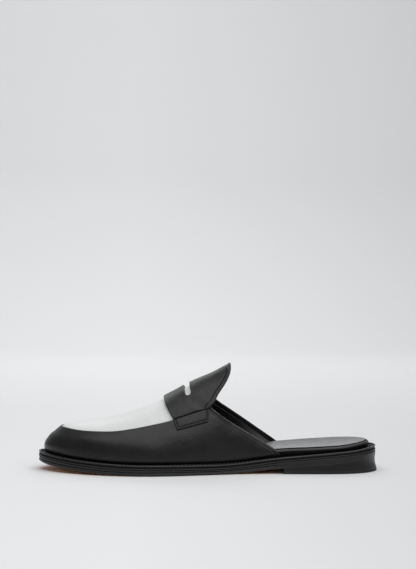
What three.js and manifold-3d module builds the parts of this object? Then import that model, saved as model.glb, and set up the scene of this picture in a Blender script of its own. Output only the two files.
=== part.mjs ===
// Backless penny loafer, left shoe: a black apron upper with a white inlaid vamp plug, a slotted saddle
// that runs back into the tongue, a welt all round, and a leather sole on a low stacked heel.
// Millimetres. While building, x runs from the back of the welt (0) to its toe tip, y to the wearer's
// left, which is the outer side, and z up from the floor. The last lines move the origin under the middle.
import * as THREE from 'three';
import { mergeVertices } from 'three/addons/utils/BufferGeometryUtils.js';
import Module from 'manifold-3d';

const wasm = await Module();
wasm.setup();

// Driving sizes of the shoe
const soleLength = 301.5;
const ballWidth = 108;
const heelWidth = 74;
const heelLength = 84;
const breastHeight = 4.9;
const heelPitch = 0.088;
const toeSpring = 7.3;
const instepRise = 72.4;
const toeRise = 31.5;
const medialRise = 6.5;
const toplineMedialBack = 3;

// Thicknesses and clearances
const clearance = 0.3;
const outsoleThickness = 2.9;
const midsoleThickness = 2.1;
const weltThickness = 3.9;
const topLiftThickness = 2.4;
const wall = 2.6;
const plugThickness = 0.8;
const plugDrop = 0.5;
const saddleThickness = 2.1;
const tabThickness = 1.7;
const footbedThickness = 7.4;
const sockThickness = 1.2;

// Edges
const weltMargin = 5;
const weltBand = 11;
const weltRidge = 0.6;
const weltRidgeWidth = 2.3;
const edgeRound = 0.5;
const bottomRound = 0.9;
const footbedRound = 2.4;
const sockInset = 2.9;
const heelFlare = 1.2;
const breastHollow = 3;
const toeCapLength = 26;
const slotLength = 0.327 * ballWidth;
const slotBow = 1.4;
const slotWidth = 5;

// Plan outline of the welt, from the back of the heel to the toe tip
const outlineRows = [
  { at: 0, lateral: 0, medial: 0 },
  { at: 0.03, lateral: 0.325 * heelWidth, medial: -0.325 * heelWidth },
  { at: 0.08, lateral: 0.455 * heelWidth, medial: -0.455 * heelWidth },
  { at: 0.14, lateral: 0.495 * heelWidth, medial: -0.495 * heelWidth },
  { at: 0.2, lateral: 0.5 * heelWidth, medial: -0.49 * heelWidth },
  { at: 0.28, lateral: 0.49 * heelWidth, medial: -0.455 * heelWidth },
  { at: 0.36, lateral: 0.345 * ballWidth, medial: -0.288 * ballWidth },
  { at: 0.43, lateral: 0.372 * ballWidth, medial: -0.284 * ballWidth },
  { at: 0.5, lateral: 0.42 * ballWidth, medial: -0.31 * ballWidth },
  { at: 0.57, lateral: 0.469 * ballWidth, medial: -0.366 * ballWidth },
  { at: 0.64, lateral: 0.502 * ballWidth, medial: -0.432 * ballWidth },
  { at: 0.7, lateral: 0.503 * ballWidth, medial: -0.477 * ballWidth },
  { at: 0.76, lateral: 0.479 * ballWidth, medial: -0.497 * ballWidth },
  { at: 0.82, lateral: 0.43 * ballWidth, medial: -0.482 * ballWidth },
  { at: 0.88, lateral: 0.35 * ballWidth, medial: -0.432 * ballWidth },
  { at: 0.94, lateral: 0.235 * ballWidth, medial: -0.34 * ballWidth },
  { at: 0.98, lateral: 0.115 * ballWidth, medial: -0.225 * ballWidth },
  { at: 1, lateral: -0.06 * ballWidth, medial: -0.06 * ballWidth },
];

// Crest of the upper: its height over the sole, its sideways place and how full its sections are
const crestRows = [
  { at: 0.26, rise: 1.39 * instepRise, side: -0.02 * ballWidth, fullness: 2.3 },
  { at: 0.34, rise: 1.31 * instepRise, side: -0.025 * ballWidth, fullness: 2.1 },
  { at: 0.4, rise: 1.21 * instepRise, side: -0.03 * ballWidth, fullness: 1.95 },
  { at: 0.44, rise: 1.125 * instepRise, side: -0.03 * ballWidth, fullness: 1.85 },
  { at: 0.475, rise: 1.045 * instepRise, side: -0.03 * ballWidth, fullness: 1.8 },
  { at: 0.51, rise: 0.983 * instepRise, side: -0.03 * ballWidth, fullness: 1.75 },
  { at: 0.545, rise: 0.918 * instepRise, side: -0.03 * ballWidth, fullness: 1.75 },
  { at: 0.58, rise: 0.842 * instepRise, side: -0.03 * ballWidth, fullness: 1.78 },
  { at: 0.62, rise: 0.755 * instepRise, side: -0.035 * ballWidth, fullness: 1.85 },
  { at: 0.67, rise: 0.665 * instepRise, side: -0.04 * ballWidth, fullness: 1.98 },
  { at: 0.71, rise: 0.605 * instepRise, side: -0.045 * ballWidth, fullness: 2.08 },
  { at: 0.76, rise: 1.235 * toeRise, side: -0.05 * ballWidth, fullness: 2.2 },
  { at: 0.83, rise: 1.125 * toeRise, side: -0.055 * ballWidth, fullness: 2.28 },
  { at: 0.88, rise: 1.06 * toeRise, side: -0.06 * ballWidth, fullness: 2.28 },
  { at: 0.93, rise: toeRise, side: -0.062 * ballWidth, fullness: 2.25 },
  { at: 1, rise: toeRise, side: -0.06 * ballWidth, fullness: 2.2 },
];

// Plan half-widths of the white plug, from its toe end (0) back to where it ends under the saddle (1)
const plugRows = [
  { back: 0, lateral: 0, medial: 0 },
  { back: 0.05, lateral: 0.15 * ballWidth, medial: 0.125 * ballWidth },
  { back: 0.1, lateral: 0.21 * ballWidth, medial: 0.176 * ballWidth },
  { back: 0.2, lateral: 0.287 * ballWidth, medial: 0.246 * ballWidth },
  { back: 0.33, lateral: 0.345 * ballWidth, medial: 0.287 * ballWidth },
  { back: 0.5, lateral: 0.38 * ballWidth, medial: 0.297 * ballWidth },
  { back: 0.66, lateral: 0.375 * ballWidth, medial: 0.268 * ballWidth },
  { back: 0.82, lateral: 0.345 * ballWidth, medial: 0.235 * ballWidth },
  { back: 1, lateral: 0.27 * ballWidth, medial: 0.2 * ballWidth },
];
const plugFront = 0.933 * soleLength;
const plugBack = 0.517 * soleLength;

// Side-view lines of the outer side: share of the sole's length, share of the instep's rise over the sole
const toplineRows = [
  { at: 0.279, up: 0.02 },
  { at: 0.284, up: 0.09 },
  { at: 0.301, up: 0.158 },
  { at: 0.332, up: 0.243 },
  { at: 0.365, up: 0.33 },
  { at: 0.4, up: 0.425 },
  { at: 0.441, up: 0.535 },
  { at: 0.478, up: 0.634 },
  { at: 0.489, up: 0.69 },
  { at: 0.489, up: 0.79 },
  { at: 0.48, up: 0.91 },
  { at: 0.47, up: 1.03 },
  { at: 0.46, up: 1.2 },
];
const saddleFrontRows = [
  { at: 0.5985, up: 0.546 },
  { at: 0.61, up: 0.603 },
  { at: 0.6205, up: 0.66 },
  { at: 0.6275, up: 0.717 },
  { at: 0.628, up: 0.762 },
  { at: 0.6235, up: 0.81 },
];
const tongueRows = [
  { at: 0.434, up: 1.215 },
  { at: 0.432, up: 1.165 },
  { at: 0.431, up: 1.115 },
  { at: 0.4315, up: 1.05 },
  { at: 0.437, up: 0.975 },
  { at: 0.45, up: 0.885 },
  { at: 0.465, up: 0.8 },
  { at: 0.481, up: 0.7 },
  { at: 0.493, up: 0.642 },
];
const saddleSeamRows = [
  { at: 0.493, up: 0.642 },
  { at: 0.53, up: 0.622 },
  { at: 0.566, up: 0.585 },
  { at: 0.5985, up: 0.546 },
];
const tabRows = [
  { at: 0.585, up: 0.408 },
  { at: 0.4955, up: 0.497 },
];
const slotAt = 0.5587;
const slotSide = 0.032 * ballWidth;

// Thickness of the footbed along the shoe
const footbedRows = [
  { at: 0, thickness: 0.68 * footbedThickness },
  { at: 0.1, thickness: 0.77 * footbedThickness },
  { at: 0.2, thickness: 0.9 * footbedThickness },
  { at: 0.31, thickness: footbedThickness },
  { at: 0.4, thickness: 0.87 * footbedThickness },
  { at: 0.5, thickness: 0.55 * footbedThickness },
  { at: 0.6, thickness: 0.42 * footbedThickness },
  { at: 1, thickness: 0.4 * footbedThickness },
];

// A smooth curve through a table's values, as a natural cubic spline
function splineOf(xs, ys) {
  const last = xs.length - 1;
  const bend = new Array(last + 1).fill(0);
  const carry = new Array(last + 1).fill(0);
  for (let i = 1; i < last; i++) {
    const share = (xs[i] - xs[i - 1]) / (xs[i + 1] - xs[i - 1]);
    const pivot = share * bend[i - 1] + 2;
    const turn = (ys[i + 1] - ys[i]) / (xs[i + 1] - xs[i]) - (ys[i] - ys[i - 1]) / (xs[i] - xs[i - 1]);
    bend[i] = (share - 1) / pivot;
    carry[i] = ((6 * turn) / (xs[i + 1] - xs[i - 1]) - share * carry[i - 1]) / pivot;
  }
  const second = new Array(last + 1).fill(0);
  for (let i = last - 1; i > 0; i--) second[i] = bend[i] * second[i + 1] + carry[i];
  return (x) => {
    let i = 1;
    while (i < last && x > xs[i]) i++;
    const h = xs[i] - xs[i - 1];
    const a = (xs[i] - x) / h;
    const b = 1 - a;
    const cubic = (a ** 3 - a) * second[i - 1] + (b ** 3 - b) * second[i];
    return a * ys[i - 1] + b * ys[i] + (cubic * h * h) / 6;
  };
}

const clamp = (value, low, high) => Math.min(high, Math.max(low, value));

// The outline is smooth in the angle that sweeps round it, so its ends come out round
const sweepOf = (share) => Math.acos(1 - 2 * clamp(share, 0, 1));
const outlineSweeps = outlineRows.map((row) => sweepOf(row.at));
const lateralOutline = splineOf(outlineSweeps, outlineRows.map((row) => row.lateral));
const medialOutline = splineOf(outlineSweeps, outlineRows.map((row) => row.medial));

function outlinePoint(sweep, side) {
  const along = (soleLength * (1 - Math.cos(sweep))) / 2;
  return [along, side > 0 ? lateralOutline(sweep) : medialOutline(sweep)];
}

// A point of the outline moved inwards by inset, square to the edge
function insetPoint(sweep, side, inset) {
  const step = 1e-3;
  const low = clamp(sweep - step, 0, Math.PI);
  const high = clamp(sweep + step, 0, Math.PI);
  const [x0, y0] = outlinePoint(low, side);
  const [x1, y1] = outlinePoint(high, side);
  const [x, y] = outlinePoint(sweep, side);
  const atEnd = sweep < step || sweep > Math.PI - step;
  const dx = atEnd ? 0 : x1 - x0;
  const dy = atEnd ? side * (sweep < step ? 1 : -1) : y1 - y0;
  const length = Math.hypot(dx, dy);
  return [x + (side * inset * dy) / length, y - (side * inset * dx) / length];
}

// Height of the sole's underside over the floor: the heel seat's slope, the waist, the flat tread, the toe
const treadStart = 0.467 * soleLength;
const treadEnd = 0.667 * soleLength;
function soleBottom(x) {
  if (x < heelLength) return breastHeight + (heelLength - x) * heelPitch;
  if (x < treadStart) {
    const span = treadStart - heelLength;
    const t = (x - heelLength) / span;
    const fall = breastHeight * (1 - 3 * t * t + 2 * t ** 3);
    return fall - heelPitch * span * (t - 2 * t * t + t ** 3);
  }
  return x < treadEnd ? 0 : toeSpring * ((x - treadEnd) / (soleLength - treadEnd)) ** 2;
}

const midsoleLow = outsoleThickness + clearance;
const weltLow = midsoleLow + midsoleThickness + clearance;
const soleStack = weltLow + weltThickness;
const weltShelf = soleStack - weltRidge;
const featherLow = weltShelf + clearance;

// A closed body from vertices and triangles, turned so that its faces point out
function closedMesh(vertices, faces) {
  const geometry = new THREE.BufferGeometry();
  geometry.setAttribute('position', new THREE.Float32BufferAttribute(vertices.flat(), 3));
  let volume = 0;
  for (const [a, b, c] of faces) {
    const [p, q, r] = [vertices[a], vertices[b], vertices[c]];
    volume += p[0] * (q[1] * r[2] - q[2] * r[1]) - p[1] * (q[0] * r[2] - q[2] * r[0]);
    volume += p[2] * (q[0] * r[1] - q[1] * r[0]);
  }
  geometry.setIndex((volume > 0 ? faces : faces.map(([a, b, c]) => [a, c, b])).flat());
  return geometry;
}

const edgeSteps = 34;

// A layer of the sole: rings at (inset, height over the sole's underside), joined from first to last
function layer(rings, closed = false) {
  const vertices = [];
  const faces = [];
  const count = 2 * edgeSteps;
  for (const { inset, height } of rings) {
    for (let i = 0; i < count; i++) {
      const side = i <= edgeSteps ? 1 : -1;
      const sweep = (Math.PI * (side > 0 ? i : count - i)) / edgeSteps;
      const [x, y] = insetPoint(sweep, side, inset);
      vertices.push([x, y, soleBottom(x) + (typeof height === 'function' ? height(x) : height)]);
    }
  }
  const last = rings.length - 1;
  for (let r = 0; r < (closed ? rings.length : last); r++) {
    const next = (r + 1) % rings.length;
    for (let i = 0; i < count; i++) {
      const j = (i + 1) % count;
      faces.push([r * count + i, r * count + j, next * count + j]);
      faces.push([r * count + i, next * count + j, next * count + i]);
    }
  }
  if (!closed) {
    for (const [r, flip] of [[0, true], [last, false]]) {
      for (let i = 0; i < edgeSteps; i++) {
        const a = r * count + i;
        const b = a + 1;
        const c = r * count + ((count - i - 1) % count);
        const d = r * count + ((count - i) % count);
        if (i < edgeSteps - 1) faces.push(flip ? [a, c, b] : [a, b, c]);
        if (i > 0) faces.push(flip ? [a, d, c] : [a, c, d]);
      }
    }
  }
  return closedMesh(vertices, faces);
}

// Height of the upper's feather edge, where it meets the welt
const featherHeight = (x) => soleBottom(x) + featherLow;

// Half-width of the upper's feather edge at x, found on the inset outline
const featherTip = soleLength - weltMargin;
function featherEdge(x, side) {
  let low = 0;
  let high = Math.PI;
  for (let i = 0; i < 40; i++) {
    const middle = (low + high) / 2;
    if (insetPoint(middle, side, weltMargin)[0] < x) low = middle;
    else high = middle;
  }
  return insetPoint((low + high) / 2, side, weltMargin)[1];
}

const crestPlaces = crestRows.map((row) => row.at * soleLength);
const crestRise = splineOf(crestPlaces, crestRows.map((row) => row.rise));
const crestSide = splineOf(crestPlaces, crestRows.map((row) => row.side));
const crestFullness = splineOf(crestPlaces, crestRows.map((row) => row.fullness));

// Height of the crest over the feather edge, rounded down to nothing at the toe tip
const capPower = { along: 2.25, up: 2 };
function sectionHeight(x) {
  const full = soleStack + crestRise(x) - featherHeight(x);
  const reach = clamp((x - (featherTip - toeCapLength)) / toeCapLength, 0, 1);
  return full * (1 - reach ** capPower.along) ** (1 / capPower.up);
}

// A point of the last: x along the shoe, turn from 0 at the outer feather edge over the crest to pi. Its
// sections are superellipses, whose two unequal sides run smoothly into each other over the crest
const bulge = 0.06;
const crestBlend = 0.5;
const crestSoftness = 0.25;
function lastPoint(x, turn) {
  const middle = x > featherTip - 1e-6 ? featherEdge(featherTip, 1) : crestSide(x);
  const outer = Math.max(0, featherEdge(x, 1) - middle);
  const inner = Math.max(0, middle - featherEdge(x, -1));
  const across = Math.cos(turn);
  const share = clamp(0.5 + (0.5 * across) / crestBlend, 0, 1);
  const width = inner + (outer - inner) * share * share * (3 - 2 * share);
  const power = 2 / crestFullness(x);
  const rise = Math.max(0, Math.sin(turn));
  const soft = Math.hypot(across, crestSoftness) / Math.hypot(1, crestSoftness);
  const out = across * soft ** (power - 1) + 2 * bulge * rise * across ** 3;
  return new THREE.Vector3(x, middle + width * out, featherHeight(x) + sectionHeight(x) * rise ** power);
}

// The outward direction square to the last
function lastNormal(x, turn) {
  if (x > featherTip - 0.02) return new THREE.Vector3(1, 0, 0);
  const step = 0.01;
  const ahead = lastPoint(Math.min(x + step, featherTip), turn);
  const along = ahead.sub(lastPoint(x - step, turn));
  const across = lastPoint(x, Math.min(turn + step, Math.PI)).sub(lastPoint(x, Math.max(turn - step, 0)));
  return across.cross(along).normalize();
}

const onLast = (x, turn, offset) => lastPoint(x, turn).addScaledVector(lastNormal(x, turn), offset);

// A wall between two offsets from the last, over the stations xs and the turns, in rows that may
// end in the toe's one point
function lastShell(xs, turns, inner, outer) {
  const vertices = [];
  const faces = [];
  const tipped = xs[xs.length - 1] >= featherTip;
  const rows = tipped ? xs.length - 1 : xs.length;
  const across = turns.length;
  const at = (face, i, j) => (face * rows + i) * across + j;
  for (const offset of [outer, inner]) {
    for (let i = 0; i < rows; i++) {
      for (const turn of turns) vertices.push(onLast(xs[i], turn, offset).toArray());
    }
  }
  const quad = (a, b, c, d) => faces.push([a, b, c], [a, c, d]);
  for (let i = 0; i < rows - 1; i++) {
    for (let j = 0; j < across - 1; j++) {
      quad(at(0, i, j), at(0, i + 1, j), at(0, i + 1, j + 1), at(0, i, j + 1));
      quad(at(1, i, j), at(1, i, j + 1), at(1, i + 1, j + 1), at(1, i + 1, j));
    }
    quad(at(0, i, 0), at(1, i, 0), at(1, i + 1, 0), at(0, i + 1, 0));
    quad(at(0, i, across - 1), at(0, i + 1, across - 1), at(1, i + 1, across - 1), at(1, i, across - 1));
  }
  for (let j = 0; j < across - 1; j++) {
    quad(at(0, 0, j), at(0, 0, j + 1), at(1, 0, j + 1), at(1, 0, j));
    if (!tipped) {
      const end = rows - 1;
      quad(at(0, end, j), at(1, end, j), at(1, end, j + 1), at(0, end, j + 1));
    }
  }
  if (tipped) {
    const end = rows - 1;
    const [tipOut, tipIn] = [vertices.length, vertices.length + 1];
    vertices.push(onLast(featherTip, 0, outer).toArray(), onLast(featherTip, 0, inner).toArray());
    for (let j = 0; j < across - 1; j++) {
      faces.push([at(0, end, j), tipOut, at(0, end, j + 1)], [at(1, end, j), at(1, end, j + 1), tipIn]);
    }
    quad(at(0, end, 0), at(1, end, 0), tipIn, tipOut);
    quad(at(0, end, across - 1), tipOut, tipIn, at(1, end, across - 1));
  }
  return closedMesh(vertices, faces);
}

function spread(from, to, steps) {
  return Array.from({ length: steps + 1 }, (_, i) => from + ((to - from) * i) / steps);
}

// Manifold solids and back
function solidOf(geometry) {
  const bare = new THREE.BufferGeometry().setAttribute('position', geometry.getAttribute('position'));
  bare.setIndex(geometry.getIndex());
  const merged = mergeVertices(bare, 1e-4);
  const vertProperties = new Float32Array(merged.attributes.position.array);
  const triVerts = new Uint32Array(merged.index.array);
  return new wasm.Manifold(new wasm.Mesh({ numProp: 3, vertProperties, triVerts }));
}

function geometryOf(solid) {
  const mesh = solid.getMesh();
  const geometry = new THREE.BufferGeometry();
  geometry.setAttribute('position', new THREE.BufferAttribute(mesh.vertProperties, mesh.numProp));
  geometry.setIndex(new THREE.BufferAttribute(mesh.triVerts, 1));
  return geometry;
}

// A side-view line through a table's points, smooth and in millimetres
function sideLine(rows, steps) {
  const points = rows.map((row) => new THREE.Vector2(row.at * soleLength, soleStack + row.up * instepRise));
  return new THREE.SplineCurve(points).getPoints(steps).map((point) => [point.x, point.y]);
}

// A block with a side-view outline right through the shoe. The outline is the outer side's: on the medial
// side its lines climb, by medialRise at the height where the tongue starts, and lie further back
const lateralReference = 0.28 * ballWidth;
const tongueStart = 0.65 * instepRise;
function throughCut(points, medialBack = 0) {
  const shape = new THREE.Shape(points.map(([x, z]) => new THREE.Vector2(x, z)));
  const depth = 2 * ballWidth;
  const geometry = new THREE.ExtrudeGeometry(shape, { depth, bevelEnabled: false });
  geometry.rotateX(Math.PI / 2);
  geometry.translate(0, depth / 2, 0);
  const position = geometry.getAttribute('position');
  for (let i = 0; i < position.count; i++) {
    const z = position.getZ(i);
    const toMedial = (lateralReference - position.getY(i)) / (2 * lateralReference);
    const height = (z - soleStack) / tongueStart;
    position.setZ(i, z + medialRise * height * toMedial);
    position.setX(i, position.getX(i) - medialBack * toMedial);
  }
  return solidOf(geometry);
}

// The white plug's patch of the last, as a closed body between two offsets, grown by margin
const plugSweeps = plugRows.map((row) => Math.sqrt(row.back));
const plugLateral = splineOf(plugSweeps, plugRows.map((row) => row.lateral));
const plugMedial = splineOf(plugSweeps, plugRows.map((row) => row.medial));

// The turn at which the last's section at x reaches y
function turnAt(x, y) {
  let low = 0;
  let high = Math.PI;
  for (let i = 0; i < 40; i++) {
    const middle = (low + high) / 2;
    if (lastPoint(x, middle).y > y) low = middle;
    else high = middle;
  }
  return (low + high) / 2;
}

function plugPatch(inner, outer, margin) {
  const along = 20;
  const across = 14;
  const length = plugFront - plugBack + 2 * margin;
  const grids = [outer, inner].map((offset) =>
    spread(1, 0, along).map((s) => {
      const x = plugFront + margin - length * s * s;
      const grow = margin * Math.min(1, 3 * s);
      const middle = crestSide(x);
      const [left, right] = [middle + plugLateral(s) + grow, middle - plugMedial(s) - grow];
      const turns = spread(left, right, across).map((y) => turnAt(x, y));
      return turns.map((turn) => onLast(x, turn, offset).toArray());
    }),
  );
  const vertices = [];
  const faces = [];
  const rows = along;
  const tip = 2 * rows * (across + 1);
  const at = (face, i, j) => (i < rows ? (face * rows + i) * (across + 1) + j : tip + face);
  for (const grid of grids) for (let i = 0; i < rows; i++) vertices.push(...grid[i]);
  vertices.push(grids[0][rows][0], grids[1][rows][0]);
  const quad = (a, b, c, d) => faces.push([a, b, c], [a, c, d]);
  for (let i = 0; i < rows; i++) {
    for (let j = 0; j < across; j++) {
      quad(at(0, i, j), at(0, i + 1, j), at(0, i + 1, j + 1), at(0, i, j + 1));
      quad(at(1, i, j), at(1, i, j + 1), at(1, i + 1, j + 1), at(1, i + 1, j));
    }
    quad(at(0, i, 0), at(1, i, 0), at(1, i + 1, 0), at(0, i + 1, 0));
    quad(at(0, i, across), at(0, i + 1, across), at(1, i + 1, across), at(1, i, across));
  }
  for (let j = 0; j < across; j++) quad(at(0, 0, j), at(0, 0, j + 1), at(1, 0, j + 1), at(1, 0, j));
  return solidOf(closedMesh(vertices, faces.filter(([a, b, c]) => a !== b && b !== c && a !== c)));
}

// The upper: one hollow wall from the feather edge over the crest, cut open behind the topline and
// throat, with the bed that the plug lies in sunk into it
const upperBack = 0.27 * soleLength;
const toeFinePart = 1.9 * toeCapLength;
const toeStations = spread(1, 0, 14).map((s) => featherTip - toeFinePart * s * s);
const bodyStations = spread(upperBack, toeStations[0], 17).slice(0, -1);
const fullTurns = spread(0, Math.PI, 26);
const plugBed = plugDrop + plugThickness + clearance;
const farBack = -soleLength;
const wayUp = 4;
const topline = sideLine(toplineRows, 26);
const behindTopline = throughCut(
  [
    [topline[0][0], -soleStack],
    ...topline,
    [topline[topline.length - 1][0], wayUp * instepRise],
    [farBack, wayUp * instepRise],
    [farBack, -soleStack],
  ],
  toplineMedialBack,
);

function upper() {
  const shell = solidOf(lastShell([...bodyStations, ...toeStations], fullTurns, -wall, 0));
  const bed = plugPatch(-plugBed, plugBed, clearance);
  return geometryOf(shell.subtract(bed).subtract(behindTopline));
}

function vampPlug() {
  return geometryOf(plugPatch(-plugDrop - plugThickness, -plugDrop, 0));
}

// The saddle: a second wall over the upper that runs back into the free tongue, with a slot across it
const saddleFront = sideLine(saddleFrontRows, 10);
const tongueEdge = sideLine(tongueRows, 18);
const saddleSeam = sideLine(saddleSeamRows, 6);
const tabFoot = sideLine(tabRows, 4);
const saddleOverrun = 4 * saddleThickness;

// The slot's plan: round ends, and a middle that bows forwards
function slotCut() {
  const half = (slotLength - slotWidth) / 2;
  const sides = spread(-half, half, 8).slice(1, -1);
  const bow = (y) => -slotBow * (y / half) ** 2;
  const shape = new THREE.Shape();
  shape.absarc(bow(half), half, slotWidth / 2, 0, Math.PI, false);
  for (const y of sides.slice().reverse()) shape.lineTo(bow(y) - slotWidth / 2, y);
  shape.absarc(bow(half), -half, slotWidth / 2, Math.PI, 2 * Math.PI, false);
  for (const y of sides) shape.lineTo(bow(y) + slotWidth / 2, y);
  shape.closePath();
  const settings = { depth: instepRise, bevelEnabled: false, curveSegments: 4 };
  const geometry = new THREE.ExtrudeGeometry(shape, settings);
  const x = slotAt * soleLength;
  geometry.translate(x, crestSide(x) + slotSide, soleStack + instepRise / 2);
  return solidOf(geometry);
}

function saddle() {
  const above = [
    [saddleFront[saddleFront.length - 1][0], wayUp * instepRise],
    [tongueEdge[0][0], wayUp * instepRise],
  ];
  const outline = throughCut([...saddleFront, ...above, ...tongueEdge, ...saddleSeam.slice(1, -1)]);
  const from = tongueEdge[0][0] - saddleOverrun;
  const to = saddleFront[saddleFront.length - 1][0] + saddleOverrun;
  const stations = spread(from, to, 19);
  const band = lastShell(stations, fullTurns.slice(3, -3), clearance, clearance + saddleThickness);
  return geometryOf(solidOf(band).intersect(outline).subtract(slotCut()));
}

// The tabs: short strips that hold the saddle's two ends, one on each side
const crestTurn = (fullTurns.length - 1) / 2;
function tab(side) {
  const lowered = saddleSeam.map(([x, z]) => [x, z - clearance]);
  const outline = throughCut([...tabFoot, ...lowered]);
  const turns = side > 0 ? fullTurns.slice(1, crestTurn + 1) : fullTurns.slice(crestTurn, -1);
  const stations = spread(saddleSeam[0][0] - saddleOverrun, saddleFront[0][0] + saddleOverrun, 10);
  const band = lastShell(stations, turns, clearance, clearance + tabThickness);
  return geometryOf(solidOf(band).intersect(outline));
}

function outsole() {
  return layer([
    { inset: bottomRound, height: 0 },
    { inset: bottomRound * 0.3, height: bottomRound * 0.5 },
    { inset: 0, height: bottomRound * 1.2 },
    { inset: 0, height: outsoleThickness - edgeRound },
    { inset: edgeRound, height: outsoleThickness },
  ]);
}

function midsole() {
  return layer([
    { inset: edgeRound, height: midsoleLow },
    { inset: 0, height: midsoleLow + edgeRound },
    { inset: 0, height: midsoleLow + midsoleThickness - edgeRound },
    { inset: edgeRound, height: midsoleLow + midsoleThickness },
  ]);
}

function welt() {
  return layer(
    [
      { inset: weltBand, height: weltLow },
      { inset: edgeRound, height: weltLow },
      { inset: 0, height: weltLow + edgeRound },
      { inset: 0, height: soleStack - 2 * weltRidge },
      { inset: weltRidgeWidth * 0.16, height: soleStack - 0.6 * weltRidge },
      { inset: weltRidgeWidth * 0.45, height: soleStack },
      { inset: weltRidgeWidth * 0.75, height: soleStack - 0.25 * weltRidge },
      { inset: weltRidgeWidth, height: weltShelf },
      { inset: weltBand, height: weltShelf },
    ],
    true,
  );
}

// The footbed: it fills the welt's ring, then steps out over it; full at the heel, thin under the toes
const footbedInset = weltMargin + wall + clearance;
const footbedPlaces = footbedRows.map((row) => row.at * soleLength);
const footbedCurve = splineOf(footbedPlaces, footbedRows.map((row) => row.thickness));
const footbedTop = (x) => featherLow + footbedCurve(x);

function footbed() {
  return layer([
    { inset: weltBand + clearance, height: weltLow },
    { inset: weltBand + clearance, height: weltShelf + clearance },
    { inset: footbedInset, height: weltShelf + clearance },
    { inset: footbedInset, height: (x) => footbedTop(x) - footbedRound },
    { inset: footbedInset + footbedRound * 0.3, height: (x) => footbedTop(x) - footbedRound * 0.3 },
    { inset: footbedInset + footbedRound, height: footbedTop },
  ]);
}

function sock() {
  const low = (x) => footbedTop(x) + clearance;
  const inset = footbedInset + sockInset;
  return layer([
    { inset, height: low },
    { inset, height: (x) => low(x) + sockThickness * 0.6 },
    { inset: inset + sockThickness * 0.5, height: (x) => low(x) + sockThickness },
  ]);
}

// The heel: a wedge-shaped block under the seat and a top lift on the floor, with a hollowed breast
function heelLoop(grow) {
  const steps = 16;
  const breast = 8;
  let low = 0;
  let high = Math.PI;
  for (let i = 0; i < 40; i++) {
    const middle = (low + high) / 2;
    if (outlinePoint(middle, 1)[0] < heelLength) low = middle;
    else high = middle;
  }
  const edge = (side) => spread(0, low, steps).map((sweep) => insetPoint(sweep, side, -grow));
  const outer = edge(1);
  const inner = edge(-1);
  const [xa, ya] = outer[steps];
  const [xb, yb] = inner[steps];
  const front = spread(0, 1, breast)
    .slice(1, -1)
    .map((t) => [xa + (xb - xa) * t - 4 * breastHollow * t * (1 - t), ya + (yb - ya) * t]);
  return [...outer, ...front, ...inner.slice(1).reverse()].reverse();
}

function heelSlab(lowHeight, highHeight, lowGrow, highGrow) {
  const low = heelLoop(lowGrow).map(([x, y]) => [x, y, lowHeight(x)]);
  const high = heelLoop(highGrow).map(([x, y]) => [x, y, highHeight(x)]);
  const count = low.length;
  const faces = [];
  for (let i = 0; i < count; i++) {
    const j = (i + 1) % count;
    faces.push([i, j, count + j], [i, count + j, count + i]);
  }
  const flat = low.map(([x, y]) => new THREE.Vector2(x, y));
  for (const [a, b, c] of THREE.ShapeUtils.triangulateShape(flat, [])) {
    const [p, q, r] = THREE.ShapeUtils.isClockWise([flat[a], flat[b], flat[c]]) ? [a, c, b] : [a, b, c];
    faces.push([p, r, q], [count + p, count + q, count + r]);
  }
  return closedMesh([...low, ...high], faces);
}

const blockFlare = 0.85 * heelFlare;
const liftFlare = 0.9 * heelFlare;
function heelBlock() {
  const underSeat = (x) => soleBottom(Math.min(x, heelLength)) - clearance;
  return heelSlab(() => topLiftThickness + clearance, underSeat, blockFlare, 0);
}

function topLift() {
  return heelSlab(() => 0, () => topLiftThickness, heelFlare, liftFlare);
}

// Materials by what each piece is made of
const finish = (color, roughness) => new THREE.MeshStandardMaterial({ color, roughness, metalness: 0 });
const blackLeather = finish(0x1d1d1f, 0.42);
const whiteLeather = finish(0xe4e3df, 0.45);
const burnishedEdge = finish(0x19191a, 0.5);
const tanLeather = finish(0x9a6236, 0.55);
const liningLeather = finish(0x2a2a2b, 0.6);
const blackRubber = finish(0x161616, 0.8);

const pieces = [
  ['outsole', outsole(), tanLeather],
  ['midsole', midsole(), burnishedEdge],
  ['welt', welt(), burnishedEdge],
  ['heel_block', heelBlock(), burnishedEdge],
  ['top_lift', topLift(), blackRubber],
  ['footbed', footbed(), blackLeather],
  ['sock', sock(), liningLeather],
  ['upper', upper(), blackLeather],
  ['vamp_plug', vampPlug(), whiteLeather],
  ['saddle', saddle(), blackLeather],
  ['tab_lateral', tab(1), blackLeather],
  ['tab_medial', tab(-1), blackLeather],
];

const shoe = new THREE.Group();
for (const [name, geometry, material] of pieces) {
  const mesh = new THREE.Mesh(geometry, material);
  mesh.name = name;
  shoe.add(mesh);
}
const extent = new THREE.Box3().setFromObject(shoe);
shoe.position.set(-(extent.min.x + extent.max.x) / 2, -(extent.min.y + extent.max.y) / 2, -extent.min.z);

export default shoe;
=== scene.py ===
# Backless penny loafer, left shoe: the visual model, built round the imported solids.
# Shapes are worked out in millimetres in the shoe's own frame, where x runs from the back of the welt (0)
# to its toe tip, y to the outer side and z up from the floor, and are moved into the row frame at the end.
import math

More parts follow.
